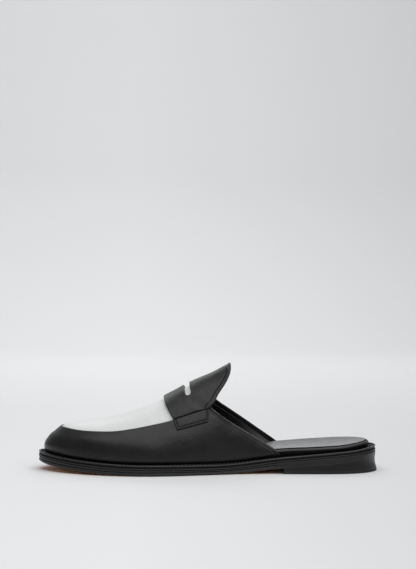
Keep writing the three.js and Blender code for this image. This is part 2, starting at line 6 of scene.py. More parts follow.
import bpy
import numpy as np
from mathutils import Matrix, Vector


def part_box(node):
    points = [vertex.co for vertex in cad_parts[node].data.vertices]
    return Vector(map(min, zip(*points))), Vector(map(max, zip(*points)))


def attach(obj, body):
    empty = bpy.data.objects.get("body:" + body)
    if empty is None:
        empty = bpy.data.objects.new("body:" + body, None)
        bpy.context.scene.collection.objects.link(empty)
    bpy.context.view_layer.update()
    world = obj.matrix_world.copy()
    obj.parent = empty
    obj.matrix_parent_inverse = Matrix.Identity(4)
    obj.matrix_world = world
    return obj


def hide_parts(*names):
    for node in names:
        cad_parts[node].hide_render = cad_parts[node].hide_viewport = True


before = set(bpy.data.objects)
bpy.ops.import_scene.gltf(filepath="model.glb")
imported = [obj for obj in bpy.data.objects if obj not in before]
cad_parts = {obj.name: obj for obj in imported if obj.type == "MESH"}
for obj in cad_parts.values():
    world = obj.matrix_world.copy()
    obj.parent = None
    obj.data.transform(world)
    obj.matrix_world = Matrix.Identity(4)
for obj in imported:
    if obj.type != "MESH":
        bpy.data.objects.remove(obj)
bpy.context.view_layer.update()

# Driving sizes of the shoe
SOLE_LENGTH = 301.5
BALL_WIDTH = 108.0
HEEL_WIDTH = 74.0
HEEL_LENGTH = 84.0
BREAST_HEIGHT = 4.9
HEEL_PITCH = 0.088
TOE_SPRING = 7.3
INSTEP_RISE = 72.4
TOE_RISE = 31.5
MEDIAL_RISE = 6.5
TOPLINE_MEDIAL_BACK = 3.3

# Thicknesses of the layers, with the hairline that parts them
JOINT = 0.3
OUTSOLE_THICKNESS = 2.9
MIDSOLE_THICKNESS = 2.1
WELT_THICKNESS = 3.9
LIFT_THICKNESS = 2.4
WALL = 2.6
PLUG_THICKNESS = 0.8
SADDLE_THICKNESS = 2.1
TAB_THICKNESS = 1.7
FOOTBED_THICKNESS = 7.4
SOCK_THICKNESS = 1.2

# The upper: its rounded edges, the lean inwards at the topline, the facing inside it, the tuck at its foot
TOE_CAP_LENGTH = 26.0
WALL_ROUND = 1.3
TOPLINE_ROLL = 3.8
TOPLINE_STITCH_INSET = 2.4
FACING_WIDTH = 4.3
FOOT_TUCK = 1.05
FOOT_SETTLE = 0.35
APRON_ROUND = 0.55

# The plug, the saddle with its slot, and the tabs: how they lie on the last, their edges and their seams
PLUG_DROP = 0.75
PLUG_GAP = 0.14
PLUG_EDGE = 0.3
SADDLE_LOW = 0.3
SADDLE_ROUND = 0.6
TONGUE_FOLD = 3.6
SLOT_LENGTH = 0.327 * BALL_WIDTH
SLOT_BOW = 1.4
SLOT_WIDTH = 4.7
SLOT_AT = 0.557 * SOLE_LENGTH
SLOT_SIDE = 0.032 * BALL_WIDTH
TAB_LOW = 0.08
TAB_ROUND = 0.5
TAB_LENGTH = 30.0
TAB_HEIGHT = 10.0
TAB_SEAM_GAP = 0.35
TAB_STITCH_INSET = 1.75

# Each seam's stitches: length, pitch, radius of the thread and rise, and how deep a groove's thread lies
TAB_STITCH = (1.6, 2.25, 0.3, 0.34)
TOPLINE_STITCH = (1.4, 2.0, 0.24, 0.26)
TONGUE_STITCH = (1.5, 2.1, 0.22, 0.22)
WELT_STITCH = (2.5, 3.4, 0.5, 0.75)
THREAD_SUNK = 0.42
TONGUE_THREAD_SUNK = 0.38

# The sole's edge: insets, roundings and grooves, and what is left of them where the heel is ground flush
WELT_MARGIN = 5.0
WELT_BAND = 11.0
WELT_RIDGE = 0.6
WELT_TROUGH = 0.6
WELT_STITCH_INSET = 3.6
GROOVE_DEPTH = 0.7
JOINT_ROUND = 0.42
JOINT_DROP = 0.25
WAIST_DIP = 0.65
WAIST_AT = 0.47 * SOLE_LENGTH
WAIST_SPREAD = 42.0
REAR_LIFT = 0.85
EDGE_FACE = 0.28
EDGE_ROUND = 0.5
TOE_TUCK = 9.0
CHANNEL_INSET = 6.5
GROUND_TRACE = 0.05

# The footbed and sock, and the heel
FOOTBED_ROUND = 1.5
BARE_HEEL_REACH = 1.7
SOCK_INSET = 2.2
SEAT_CAMBER = 1.0
HEEL_FLARE = 1.1
HEEL_HOLLOW = 1.3
BREAST_HOLLOW = 3.0
BLOCK_EDGE = 0.05
LIFT_ROUND = 0.35

# The stack of the sole, as heights over its underside
MIDSOLE_LOW = OUTSOLE_THICKNESS + JOINT
WELT_LOW = MIDSOLE_LOW + MIDSOLE_THICKNESS + JOINT
SOLE_STACK = WELT_LOW + WELT_THICKNESS
WELT_SHELF = SOLE_STACK - WELT_RIDGE
STRIP_TOP = WELT_LOW + 1.05
BEAD_LOW = STRIP_TOP + 1.2
BEAD_HALF = (SOLE_STACK - BEAD_LOW) / 2
BEAD_EDGE = 0.08
FEATHER_LOW = WELT_SHELF + JOINT
FOOTBED_INSET = WELT_MARGIN + WALL + JOINT
FEATHER_TIP = SOLE_LENGTH - WELT_MARGIN

# Plan outline of the welt: share of the length, then the outer and the inner edge
HEEL_OUTLINE = [
    (0, 0, 0), (0.03, 0.325, -0.325), (0.08, 0.455, -0.455), (0.14, 0.495, -0.495),
    (0.2, 0.5, -0.49), (0.28, 0.49, -0.455),
]
BALL_OUTLINE = [
    (0.36, 0.345, -0.288), (0.43, 0.372, -0.284), (0.5, 0.42, -0.31), (0.57, 0.469, -0.366),
    (0.64, 0.502, -0.432), (0.7, 0.503, -0.477), (0.76, 0.479, -0.497), (0.82, 0.43, -0.482),
    (0.88, 0.35, -0.432), (0.94, 0.235, -0.34), (0.98, 0.115, -0.225), (1, -0.06, -0.06),
]

# Crest of the upper: share of the length, rise in instep rises, side in ball widths, fullness
INSTEP_CREST = [
    (0.26, 1.39, -0.02, 2.3), (0.34, 1.31, -0.025, 2.1), (0.4, 1.21, -0.03, 1.95),
    (0.44, 1.125, -0.03, 1.85), (0.475, 1.045, -0.03, 1.8), (0.51, 0.983, -0.03, 1.75),
    (0.545, 0.918, -0.03, 1.75), (0.58, 0.842, -0.03, 1.78), (0.62, 0.755, -0.035, 1.85),
    (0.67, 0.665, -0.04, 1.98), (0.71, 0.605, -0.045, 2.08),
]
# The same over the toes, with the rise in toe rises
TOE_CREST = [
    (0.76, 1.235, -0.05, 2.2), (0.83, 1.125, -0.055, 2.28), (0.88, 1.06, -0.06, 2.28),
    (0.93, 1, -0.062, 2.25), (1, 1, -0.06, 2.2),
]

# Half-widths of the white plug in ball widths, from its toe end (0) back to its end under the saddle (1)
PLUG_ROWS = [
    (0, 0, 0), (0.05, 0.15, 0.125), (0.1, 0.21, 0.176), (0.2, 0.287, 0.246),
    (0.33, 0.345, 0.287), (0.5, 0.38, 0.297), (0.66, 0.375, 0.268), (0.82, 0.345, 0.235),
    (1, 0.27, 0.2),
]
PLUG_FRONT = 0.933 * SOLE_LENGTH
PLUG_BACK = 0.517 * SOLE_LENGTH

# Side-view lines of the outer side: share of the sole's length, share of the instep's rise over the sole
TOPLINE_ROWS = [
    (0.279, 0.02), (0.284, 0.09), (0.301, 0.158), (0.332, 0.243), (0.365, 0.33), (0.4, 0.425),
    (0.441, 0.535), (0.478, 0.634), (0.489, 0.69), (0.489, 0.79), (0.48, 0.91), (0.47, 1.03),
    (0.46, 1.2),
]
SADDLE_FRONT_ROWS = [
    (0.596, 0.52), (0.61, 0.603), (0.6205, 0.66), (0.6275, 0.717), (0.628, 0.762),
    (0.6235, 0.81),
]
TONGUE_ROWS = [
    (0.493, 0.642), (0.4785, 0.7), (0.4635, 0.8), (0.4474, 0.885), (0.4335, 0.975),
    (0.427, 1.05), (0.4285, 1.115), (0.4325, 1.165), (0.438, 1.215),
]
SADDLE_SEAM_ROWS = [(0.493, 0.642), (0.53, 0.602), (0.566, 0.556), (0.596, 0.52)]
TAB_ROWS = [(0.4955, 0.497), (0.585, 0.408)]

# Thickness of the footbed in its own greatest thicknesses
FOOTBED_ROWS = [
    (0, 0.68), (0.1, 0.77), (0.2, 0.9), (0.31, 1), (0.4, 0.87), (0.5, 0.55), (0.6, 0.42),
    (1, 0.4),
]


def spline_of(xs, ys):
    """A natural cubic spline through a table's values, for arrays."""
    xs = np.asarray(xs, float)
    ys = np.asarray(ys, float)
    last = len(xs) - 1
    steps = np.diff(xs)
    matrix = np.eye(last + 1)
    right = np.zeros(last + 1)
    for i in range(1, last):
        matrix[i, i - 1] = steps[i - 1]
        matrix[i, i] = 2 * (steps[i - 1] + steps[i])
        matrix[i, i + 1] = steps[i]
        right[i] = 6 * ((ys[i + 1] - ys[i]) / steps[i] - (ys[i] - ys[i - 1]) / steps[i - 1])
    second = np.linalg.solve(matrix, right)

    def curve(x):
        x = np.asarray(x, float)
        i = np.clip(np.searchsorted(xs, x), 1, last)
        h = xs[i] - xs[i - 1]
        a = (xs[i] - x) / h
        b = 1 - a
        cubic = (a**3 - a) * second[i - 1] + (b**3 - b) * second[i]
        return a * ys[i - 1] + b * ys[i] + cubic * h * h / 6

    return curve


def smooth_step(value, low, high):
    share = np.clip((value - low) / (high - low), 0, 1)
    return share * share * (3 - 2 * share)


def sweep_of(share):
    return np.arccos(1 - 2 * np.clip(share, 0, 1))


outline_rows = [(at, HEEL_WIDTH * out, HEEL_WIDTH * inn) for at, out, inn in HEEL_OUTLINE]
outline_rows += [(at, BALL_WIDTH * out, BALL_WIDTH * inn) for at, out, inn in BALL_OUTLINE]
outline_sweeps = sweep_of(np.array([row[0] for row in outline_rows]))
lateral_outline = spline_of(outline_sweeps, [row[1] for row in outline_rows])
medial_outline = spline_of(outline_sweeps, [row[2] for row in outline_rows])


def outline_point(sweep, side):
    """A point of the welt's plan outline, by the angle that sweeps from the heel to the toe."""
    along = SOLE_LENGTH * (1 - np.cos(sweep)) / 2
    across = np.where(side > 0, lateral_outline(sweep), medial_outline(sweep))
    return along, across


def inset_point(sweep, side, inset):
    """A point of the outline moved inwards, square to the edge."""
    step = 1e-3
    x0, y0 = outline_point(np.clip(sweep - step, 0, np.pi), side)
    x1, y1 = outline_point(np.clip(sweep + step, 0, np.pi), side)
    x, y = outline_point(sweep, side)
    at_heel = sweep < step
    at_end = at_heel | (sweep > np.pi - step)
    dx = np.where(at_end, 0.0, x1 - x0)
    dy = np.where(at_end, side * np.where(at_heel, 1.0, -1.0), y1 - y0)
    length = np.hypot(dx, dy)
    return x + side * inset * dy / length, y - side * inset * dx / length


TREAD_START = 0.467 * SOLE_LENGTH
TREAD_END = 0.667 * SOLE_LENGTH


def sole_bottom(x):
    """Height of the sole's underside: the heel seat's slope, the waist, the flat tread, the toe spring."""
    x = np.asarray(x, float)
    span = TREAD_START - HEEL_LENGTH
    t = (x - HEEL_LENGTH) / span
    seat = BREAST_HEIGHT + (HEEL_LENGTH - x) * HEEL_PITCH
    waist = BREAST_HEIGHT * (1 - 3 * t * t + 2 * t**3) - HEEL_PITCH * span * (t - 2 * t * t + t**3)
    toe = TOE_SPRING * ((x - TREAD_END) / (SOLE_LENGTH - TREAD_END)) ** 2
    return np.where(x < HEEL_LENGTH, seat, np.where(x < TREAD_START, waist, np.where(x < TREAD_END, 0, toe)))


fine_sweeps = np.linspace(0, np.pi, 6001)
feather_lines = {side: inset_point(fine_sweeps, side, WELT_MARGIN) for side in (1, -1)}


def feather_edge(x, side):
    """Sideways place of the edge where the upper meets the welt."""
    line_x, line_y = feather_lines[side]
    return np.interp(x, line_x, line_y)


crest_rows = [(at, INSTEP_RISE * up, side, full) for at, up, side, full in INSTEP_CREST]
crest_rows += [(at, TOE_RISE * up, side, full) for at, up, side, full in TOE_CREST]
crest_places = [SOLE_LENGTH * row[0] for row in crest_rows]
crest_rise = spline_of(crest_places, [row[1] for row in crest_rows])
crest_side = spline_of(crest_places, [BALL_WIDTH * row[2] for row in crest_rows])
crest_fullness = spline_of(crest_places, [row[3] for row in crest_rows])

# The last's section: how its top closes at the toe, how far its shoulders swell, how its halves join
CAP_ALONG = 2.25
BULGE = 0.06
CREST_BLEND = 0.5
CREST_SOFTNESS = 0.25


def last_point(x, turn):
    """A point of the last: turn runs from 0 at the outer feather edge over the crest to pi."""
    x, turn = np.broadcast_arrays(np.asarray(x, float), np.asarray(turn, float))
    tip = x > FEATHER_TIP - 1e-6
    middle = np.where(tip, feather_edge(FEATHER_TIP, 1), crest_side(x))
    outer = np.maximum(0, feather_edge(x, 1) - middle)
    inner = np.maximum(0, middle - feather_edge(x, -1))
    across = np.cos(turn)
    width = inner + (outer - inner) * smooth_step(across, -CREST_BLEND, CREST_BLEND)
    power = 2 / crest_fullness(x)
    rise = np.maximum(1e-9, np.sin(turn))
    soft = np.hypot(across, CREST_SOFTNESS) / math.hypot(1, CREST_SOFTNESS)
    out = across * soft ** (power - 1) + 2 * BULGE * rise * across**3
    feather = sole_bottom(x) + FEATHER_LOW
    full = SOLE_STACK + crest_rise(x) - feather
    reach = np.clip((x - (FEATHER_TIP - TOE_CAP_LENGTH)) / TOE_CAP_LENGTH, 0, 1)
    height = full * np.sqrt(np.maximum(0, 1 - reach**CAP_ALONG))
    return np.stack([x, middle + width * out, feather + height * rise**power], -1)


def unit(vectors):
    return vectors / np.maximum(1e-12, np.linalg.norm(vectors, axis=-1, keepdims=True))


def last_normal(x, turn):
    """The outward direction square to the last."""
    x, turn = np.broadcast_arrays(np.asarray(x, float), np.asarray(turn, float))
    step = 0.01
    along = last_point(np.minimum(x + step, FEATHER_TIP), turn) - last_point(x - step, turn)
    across = last_point(x, np.minimum(turn + step, np.pi)) - last_point(x, np.maximum(turn - step, 0))
    normal = unit(np.cross(across, along))
    tip = x > FEATHER_TIP - 0.02
    return np.where(tip[..., None], np.array([1.0, 0.0, 0.0]), normal)


BISECTIONS = 40
LINE_PARTS = 24


def solve(error, low, high):
    """Bisection for arrays: error grows from negative at low to positive at high."""
    low = np.array(low, float)
    high = np.array(high, float)
    for _ in range(BISECTIONS):
        middle = (low + high) / 2
        below = error(middle) < 0
        low = np.where(below, middle, low)
        high = np.where(below, high, middle)
    return (low + high) / 2


def turn_at(x, y):
    """The turn at which the last's section at x reaches y."""
    x, y = np.broadcast_arrays(np.asarray(x, float), np.asarray(y, float))
    return solve(lambda turn: y - last_point(x, turn)[..., 1], np.zeros(x.shape), np.full(x.shape, np.pi))


def side_line(rows):
    """A side-view line through a table's points, as a smooth curve in millimetres."""
    points = np.array([(at * SOLE_LENGTH, SOLE_STACK + up * INSTEP_RISE) for at, up in rows])
    last = len(points) - 1
    line = []
    for i in range(last):
        before = points[max(i - 1, 0)]
        start, end = points[i], points[i + 1]
        after = points[min(i + 2, last)]
        v0 = (end - before) / 2
        v1 = (after - start) / 2
        for t in np.arange(LINE_PARTS) / LINE_PARTS:
            cubic = (2 * start - 2 * end + v0 + v1) * t**3
            square = (-3 * start + 3 * end - 2 * v0 - v1) * t**2
            line.append(cubic + square + v0 * t + start)
    line.append(points[last])
    return np.array(line)


LATERAL_REFERENCE = 0.28 * BALL_WIDTH
TONGUE_START = 0.65 * INSTEP_RISE


def outer_view(points, medial_back=0.0):
    """Where a point of the last falls in the outer side's view, whose lines climb on the medial side."""
    to_medial = (LATERAL_REFERENCE - points[..., 1]) / (2 * LATERAL_REFERENCE)
    x = points[..., 0] + medial_back * to_medial
    z = SOLE_STACK + (points[..., 2] - SOLE_STACK) / (1 + MEDIAL_RISE * to_medial / TONGUE_START)
    return x, z


def edge_place(line, turn, low, high, medial_back=0.0):
    """Where along the shoe the last, at a turn, crosses a side-view line that only climbs."""

    def error(x):
        flat_x, flat_z = outer_view(last_point(x, turn), medial_back)
        return flat_x - np.interp(flat_z, line[:, 1], line[:, 0])

    turn = np.asarray(turn, float)
    return solve(error, np.full(turn.shape, low), np.full(turn.shape, high))


def side_turn(error, x, side):
    """The turn on the outer or the inner side, at which an error that grows up the last is nothing."""
    low = np.zeros(np.shape(x))
    if side > 0:
        return solve(error, low, low + np.pi / 2)
    return np.pi - solve(lambda turn: error(np.pi - turn), low, low + np.pi / 2)


def seam_turn(line, x, side):
    """The turn at which the last, at x, crosses a side-view line, on the outer or the inner side."""

    def error(turn):
        flat_x, flat_z = outer_view(last_point(x, turn))
        return flat_z - np.interp(flat_x, line[:, 0], line[:, 1])

    return side_turn(error, x, side)


def view_turn(x, z, side):
    """The turn at which the last, at x, reaches a height of the outer side's view."""
    return side_turn(lambda turn: outer_view(last_point(x, turn))[1] - z, x, side)


# Where millimetres in the shoe's own frame lie in the row frame
low_corner, high_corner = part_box("outsole")
lateral_reach = outline_point(fine_sweeps, 1)[1].max()
BUILD_ORIGIN = np.array([low_corner.x * 1000, high_corner.y * 1000 - lateral_reach, low_corner.z * 1000])


def add_piece(name, vertices, faces, materials, replaces=(), face_slots=None):
    """A mesh piece from millimetre vertices, moved into the row frame and fixed to the shoe."""
    mesh = bpy.data.meshes.new(name)
    placed = (np.asarray(vertices, float) + BUILD_ORIGIN) / 1000
    mesh.from_pydata(placed.tolist(), [], [tuple(int(i) for i in face) for face in faces])
    for material in materials:
        mesh.materials.append(material)
    if face_slots is not None:
        mesh.polygons.foreach_set("material_index", np.asarray(face_slots, np.int32))
    mesh.polygons.foreach_set("use_smooth", np.ones(len(mesh.polygons), bool))
    mesh.validate()
    mesh.update()
    piece = bpy.data.objects.new(name, mesh)
    bpy.context.scene.collection.objects.link(piece)
    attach(piece, "root")
    if replaces:
        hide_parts(*replaces)


def turned_out(vertices, faces):
    """The faces, all reversed where the closed body that they make is inside out."""
    vertices = np.asarray(vertices, float)
    volume = 0.0
    for face in faces:
        first = vertices[face[0]]
        for i in range(1, len(face) - 1):
            volume += float(np.dot(first, np.cross(vertices[face[i]], vertices[face[i + 1]])))
    return faces if volume > 0 else [face[::-1] for face in faces]


def grid_quads(index):
    """Quads over a grid of vertex numbers, without those that have shrunk to a line."""
    quads = []
    rows, columns = index.shape
    for i in range(rows - 1):
        for j in range(columns - 1):
            ring = [index[i, j], index[i + 1, j], index[i + 1, j + 1], index[i, j + 1]]
            face = [v for k, v in enumerate(ring) if v != ring[k - 1]]
            if len(set(face)) >= 3:
                quads.append(tuple(face))
    return quads


def corner_steps(radius):
    """Places over a rounded edge, from 0 at the edge to its radius."""
    return radius * (1 - np.cos(np.linspace(0, np.pi / 2, 5)))


def band_faces(count, rings, base=0, closed=False):
    """Quads between rings of count vertices, and from the last ring to the first where that is closed."""
    faces = []
    for r in range(rings if closed else rings - 1):
        low = base + r * count
        high = base + (r + 1) % rings * count
        for i in range(count):
            j = (i + 1) % count
            faces.append((low + i, low + j, high + j, high + i))
    return faces


def rounded_steps(radius, pitch, round_end=True):
    """Places from 0 to 1: close together where an edge is rounded, then a pitch apart."""
    low = corner_steps(radius)
    high = 1 - low[::-1] if round_end else np.array([1.0])
    count = max(1, int(round((high[0] - low[-1]) / pitch)))
    middle = np.linspace(low[-1], high[0], count + 1)[1:-1]
    return np.concatenate([low, middle, high])


def round_profile(distance, radius):
    """1 away from an edge, falling on a quarter circle to 0 at the edge."""
    share = np.clip(distance / radius, 0, 1)
    return np.sqrt(np.maximum(0, 1 - (1 - share) ** 2))


def bell(value, centre, width):
    return np.exp(-(((value - centre) / width) ** 2))


def offset_points(points, normals, offset):
    """Points moved along their normals."""
    return points + normals * offset[..., None]


# Soft creases placed on the leather of the outer side, as lines in the side view:
# start, end, half-width, and depth of the trough (a ridge is negative), in millimetres
CREASES = [
    ((163.0, 62.0), (150.5, 54.0), 3.4, 0.42),
    ((166.5, 60.0), (156.0, 50.5), 2.8, -0.3),
    ((158.5, 66.5), (148.0, 60.5), 3.2, -0.22),
    ((186.0, 63.0), (177.0, 54.0), 4.2, 0.16),
    ((137.0, 82.0), (146.5, 64.0), 4.5, 0.2),
    ((171.5, 62.5), (165.5, 61.5), 2.6, 0.7),
    ((175.0, 51.5), (162.0, 54.5), 2.8, -0.5),
]
VAMP_CREASES = [
    ((205.0, 34.5), (176.0, 26.0), 9.0, 0.3),
    ((182.0, 36.0), (160.0, 22.0), 8.0, -0.22),
    ((236.0, 30.0), (252.0, 18.0), 9.0, 0.2),
    ((128.0, 36.0), (112.0, 20.0), 8.0, 0.25),
]


def crease_offset(points, creases):
    """How far the leather moves out, by the soft troughs and ridges on the outer side."""
    moved = np.zeros(points.shape[:-1])
    for (x0, z0), (x1, z1), width, depth in creases:
        run = np.array([x1 - x0, z1 - z0])
        size = np.hypot(*run)
        dx = points[..., 0] - x0
        dz = points[..., 2] - z0
        along = (dx * run[0] + dz * run[1]) / size
        across = (dx * run[1] - dz * run[0]) / size
        beyond = np.maximum(0, np.abs(along - size / 2) - size / 2)
        trough = np.exp(-(across**2 + 0.6 * beyond**2) / width**2)
        moved -= depth * trough * smooth_step(points[..., 1], 0, 12)
    return moved


def toe_offset(points):
    """How far the toe's leather moves out: full low on the toe, a little flat above it."""
    feather = sole_bottom(points[..., 0]) + FEATHER_LOW
    share = (points[..., 2] - feather) / (SOLE_STACK + TOE_RISE - feather)
    shaped = 0.85 * bell(share, 0.3, 0.16) - 0.95 * bell(share, 0.78, 0.13)
    return shaped * smooth_step(points[..., 0], FEATHER_TIP - 34, FEATHER_TIP - 13)


# The upper's grid: columns from the outer feather edge over the crest to the inner one, rows from the
# topline to the toe tip. The columns bunch along the plug's seam, the rows along the topline

plug_sweeps = [math.sqrt(row[0]) for row in PLUG_ROWS]
plug_lateral = spline_of(plug_sweeps, [BALL_WIDTH * row[1] for row in PLUG_ROWS])
plug_medial = spline_of(plug_sweeps, [BALL_WIDTH * row[2] for row in PLUG_ROWS])


def plug_edges(s, margin):
    """Station and both sideways edges of the plug, grown by a margin; s runs from its toe end (0) back."""
    x = PLUG_FRONT + margin - (PLUG_FRONT - PLUG_BACK + 2 * margin) * s * s
    grow = margin * np.minimum(1, 3 * s)
    return x, crest_side(x) + plug_lateral(s) + grow, crest_side(x) - plug_medial(s) - grow


def plug_outline(margin):
    """The plug's edge on the last, grown by a margin, from its back round the toe end and back again."""
    x, outer_y, inner_y = plug_edges(np.linspace(1, 0, 900), margin)
    outer_edge = last_point(x, turn_at(x, outer_y))
    inner_edge = last_point(x, turn_at(x, inner_y))
    return np.concatenate([outer_edge, inner_edge[::-1]])


SECTION_TURNS = np.linspace(0, np.pi, 721)


def section_lengths(x):
    """Arc length along the last's section at x, from the outer feather edge to each of the turns."""
    points = last_point(np.full(SECTION_TURNS.shape, x), SECTION_TURNS)
    steps = np.linalg.norm(np.diff(points, axis=0), axis=1)
    return np.concatenate([[0.0], np.cumsum(steps)])


SEAM_STEPS = np.array([0, 0.04, 0.14, 0.3, 0.5, 0.85, 1.3, 1.9, 2.7])
SIDE_COLUMNS = 36
PLUG_COLUMNS = 46


def section_turns(x, outer_seam, inner_seam):
    """Turns of one row of the upper, bunched on either side of the two seams."""
    lengths = section_lengths(x)
    total = lengths[-1]
    outer, inner = np.interp([outer_seam, inner_seam], SECTION_TURNS, lengths)
    near = SEAM_STEPS * min(1.0, outer / 20, (total - inner) / 20)
    side_out = np.linspace(0, outer - near[-1], SIDE_COLUMNS)[:-1]
    side_in = np.linspace(inner + near[-1], total, SIDE_COLUMNS)[1:]
    across = np.linspace(outer, inner, PLUG_COLUMNS)
    places = np.concatenate([side_out, outer - near[:0:-1], across, inner + near[1:], side_in])
    return np.interp(places, lengths, SECTION_TURNS)


def square_run(line_x, turns, least):
    """How much of a step along the shoe is square to a line on the last, by the line's slant."""
    points = last_point(line_x, turns)
    run = unit(np.gradient(points, axis=0))
    inward = unit(last_point(line_x + 0.5, turns) - points)
    return np.clip(np.linalg.norm(np.cross(run, inward), axis=1), least, 1)


THROAT_ROW = 0.505 * SOLE_LENGTH
topline = side_line(TOPLINE_ROWS)


def topline_place(turns):
    """Where the topline lies at some turns."""
    return edge_place(topline, turns, 0.2 * SOLE_LENGTH, THROAT_ROW, TOPLINE_MEDIAL_BACK)


# The rows in front of the throat: over the plug, and from its toe end to the tip
LAST_STATION = FEATHER_TIP - 0.05
seam_x, seam_outer_y, seam_inner_y = plug_edges(np.linspace(1, 0, 118), 0.0)
front_x = [THROAT_ROW, (THROAT_ROW + PLUG_BACK) / 2, PLUG_BACK - 0.1]
outer_seam_turns = turn_at(seam_x, seam_outer_y)
inner_seam_turns = turn_at(seam_x, seam_inner_y)
front_turns = [section_turns(x, outer_seam_turns[0], inner_seam_turns[0]) for x in front_x]
front_turns += [section_turns(*seam) for seam in zip(seam_x, outer_seam_turns, inner_seam_turns)]
front_x += list(seam_x)
toe_gap = FEATHER_TIP - PLUG_FRONT
toe_ahead = np.concatenate([SEAM_STEPS[1:], np.linspace(3.4, 8.6, 9)])
toe_ahead = toe_ahead[toe_ahead < toe_gap - 6]
toe_tip = toe_gap - (toe_gap - toe_ahead[-1]) * np.linspace(1, 0, 26)[1:] ** 2
for ahead in np.concatenate([toe_ahead, toe_tip]):
    station = min(PLUG_FRONT + ahead, FEATHER_TIP)
    crest_turn = float(turn_at(min(station, LAST_STATION), crest_side(station)))
    front_x.append(station)
    if station > LAST_STATION:
        front_turns.append(front_turns[-1])
    else:
        front_turns.append(section_turns(station, crest_turn, crest_turn))
front_x = np.array(front_x)
front_turns = np.array(front_turns)

# The rows behind it: bunched beside the topline, then even
throat_turns = front_turns[0]
topline_x = topline_place(throat_turns)
slant = square_run(topline_x, throat_turns, 0.3)
TOPLINE_STEPS = np.array([
    0, 0.1, 0.38, 0.8, 1.3, 1.6, 1.85, 2.1, 2.35, 2.6, 2.85, 3.1, 3.4, 3.75, 4.0, 4.15, 4.3, 4.45, 4.7, 5.4
])
BACK_ROWS = 46
room = THROAT_ROW - topline_x
near_rows = TOPLINE_STEPS[:, None] / slant[None, :]
near_rows = near_rows * np.minimum(1, 0.8 * room / near_rows[-1])[None, :]
far_shares = np.linspace(0, 1, BACK_ROWS + 1)[1:-1, None]
far_rows = near_rows[-1] + (room - near_rows[-1]) * far_shares
back_x = topline_x[None, :] + np.concatenate([near_rows, far_rows])
back_turns = np.broadcast_to(throat_turns, back_x.shape)
grid_x = np.concatenate([back_x, np.repeat(front_x[:, None], len(throat_turns), axis=1)])
grid_turn = np.concatenate([back_turns, front_turns])
grid_points = last_point(grid_x, grid_turn)
grid_normals = last_normal(grid_x, grid_turn)


def nearest(points, line):
    """Distance from each point to a line of points."""
    flat = points.reshape(-1, 3)
    distance = np.empty(len(flat))
    for start in range(0, len(flat), 4000):
        part = flat[start : start + 4000]
        gap = part[:, None, :] - line[None, :, :]
        distance[start : start + 4000] = np.sqrt((gap**2).sum(-1).min(1))
    return distance.reshape(points.shape[:-1])


seam_distance = nearest(grid_points, plug_outline(0.0))
topline_fine_turns = np.linspace(0, np.pi, 1200)
topline_fine_x = topline_place(topline_fine_turns)
fold = nearest(grid_points, last_point(topline_fine_x, topline_fine_turns))
fold[0] = 0

PLUG_BED = PLUG_DROP + PLUG_THICKNESS + 0.06
first_seam = SIDE_COLUMNS + len(SEAM_STEPS) - 2
first_bed_row = len(back_x) + 3
in_bed = np.zeros(grid_x.shape, bool)
in_bed[first_bed_row : first_bed_row + len(seam_x), first_seam : first_seam + PLUG_COLUMNS] = True
apron = round_profile(seam_distance, APRON_ROUND)
lip = 0.1 * bell(seam_distance, 1.1, 0.8)
outer_offset = np.where(in_bed, -PLUG_BED, -PLUG_BED * (1 - apron) + lip)
outer_offset[:first_bed_row] = 0

above_feather = grid_points[..., 2] - (sole_bottom(grid_x) + FEATHER_LOW)
outer_offset = outer_offset - FOOT_TUCK * np.exp(-((above_feather / 1.7) ** 2))
outer_offset = outer_offset - 0.5 * bell(fold, TOPLINE_STITCH_INSET, 0.45) + 0.2 * bell(fold, 1.4, 0.6)
outer_offset = outer_offset + 0.14 * bell(fold, 3.4, 0.7)
rolled = TOPLINE_ROLL * np.exp(-fold / 5.5) * smooth_step(above_feather, 2, 16)
rolled = rolled * (0.3 + 0.7 * smooth_step(grid_points[..., 1], -10, 10))
rolled = rolled * (1 - smooth_step(grid_points[..., 0], TAB_ROWS[0][0] * SOLE_LENGTH - 22, THROAT_ROW - 8))
outer_offset = outer_offset + crease_offset(grid_points, VAMP_CREASES) * (1 - in_bed)
wall_profile = round_profile(fold, WALL_ROUND)
middle_offset = -WALL / 2
outer_offset = middle_offset + (outer_offset - middle_offset) * wall_profile
inner_offset = middle_offset - (WALL / 2) * wall_profile
inner_offset = inner_offset - 0.4 * smooth_step(fold, FACING_WIDTH - 0.35, FACING_WIDTH + 0.15)
moved = toe_offset(grid_points) - rolled
outer_offset = outer_offset + moved
inner_offset = inner_offset + moved

upper_outer = offset_points(grid_points, grid_normals, outer_offset)
upper_inner = offset_points(grid_points, grid_normals, inner_offset)
settle = FOOT_SETTLE * np.exp(-np.maximum(0, above_feather) / 1.2)
upper_outer[..., 2] -= settle
upper_inner[..., 2] -= settle


def drop_loose(vertices, face_lists):
    """Vertices that faces use, and the faces numbered for them."""
    used = sorted({v for faces in face_lists for face in faces for v in face})
    number = {old: new for new, old in enumerate(used)}
    return vertices[used], [[tuple(number[v] for v in face) for face in faces] for faces in face_lists]


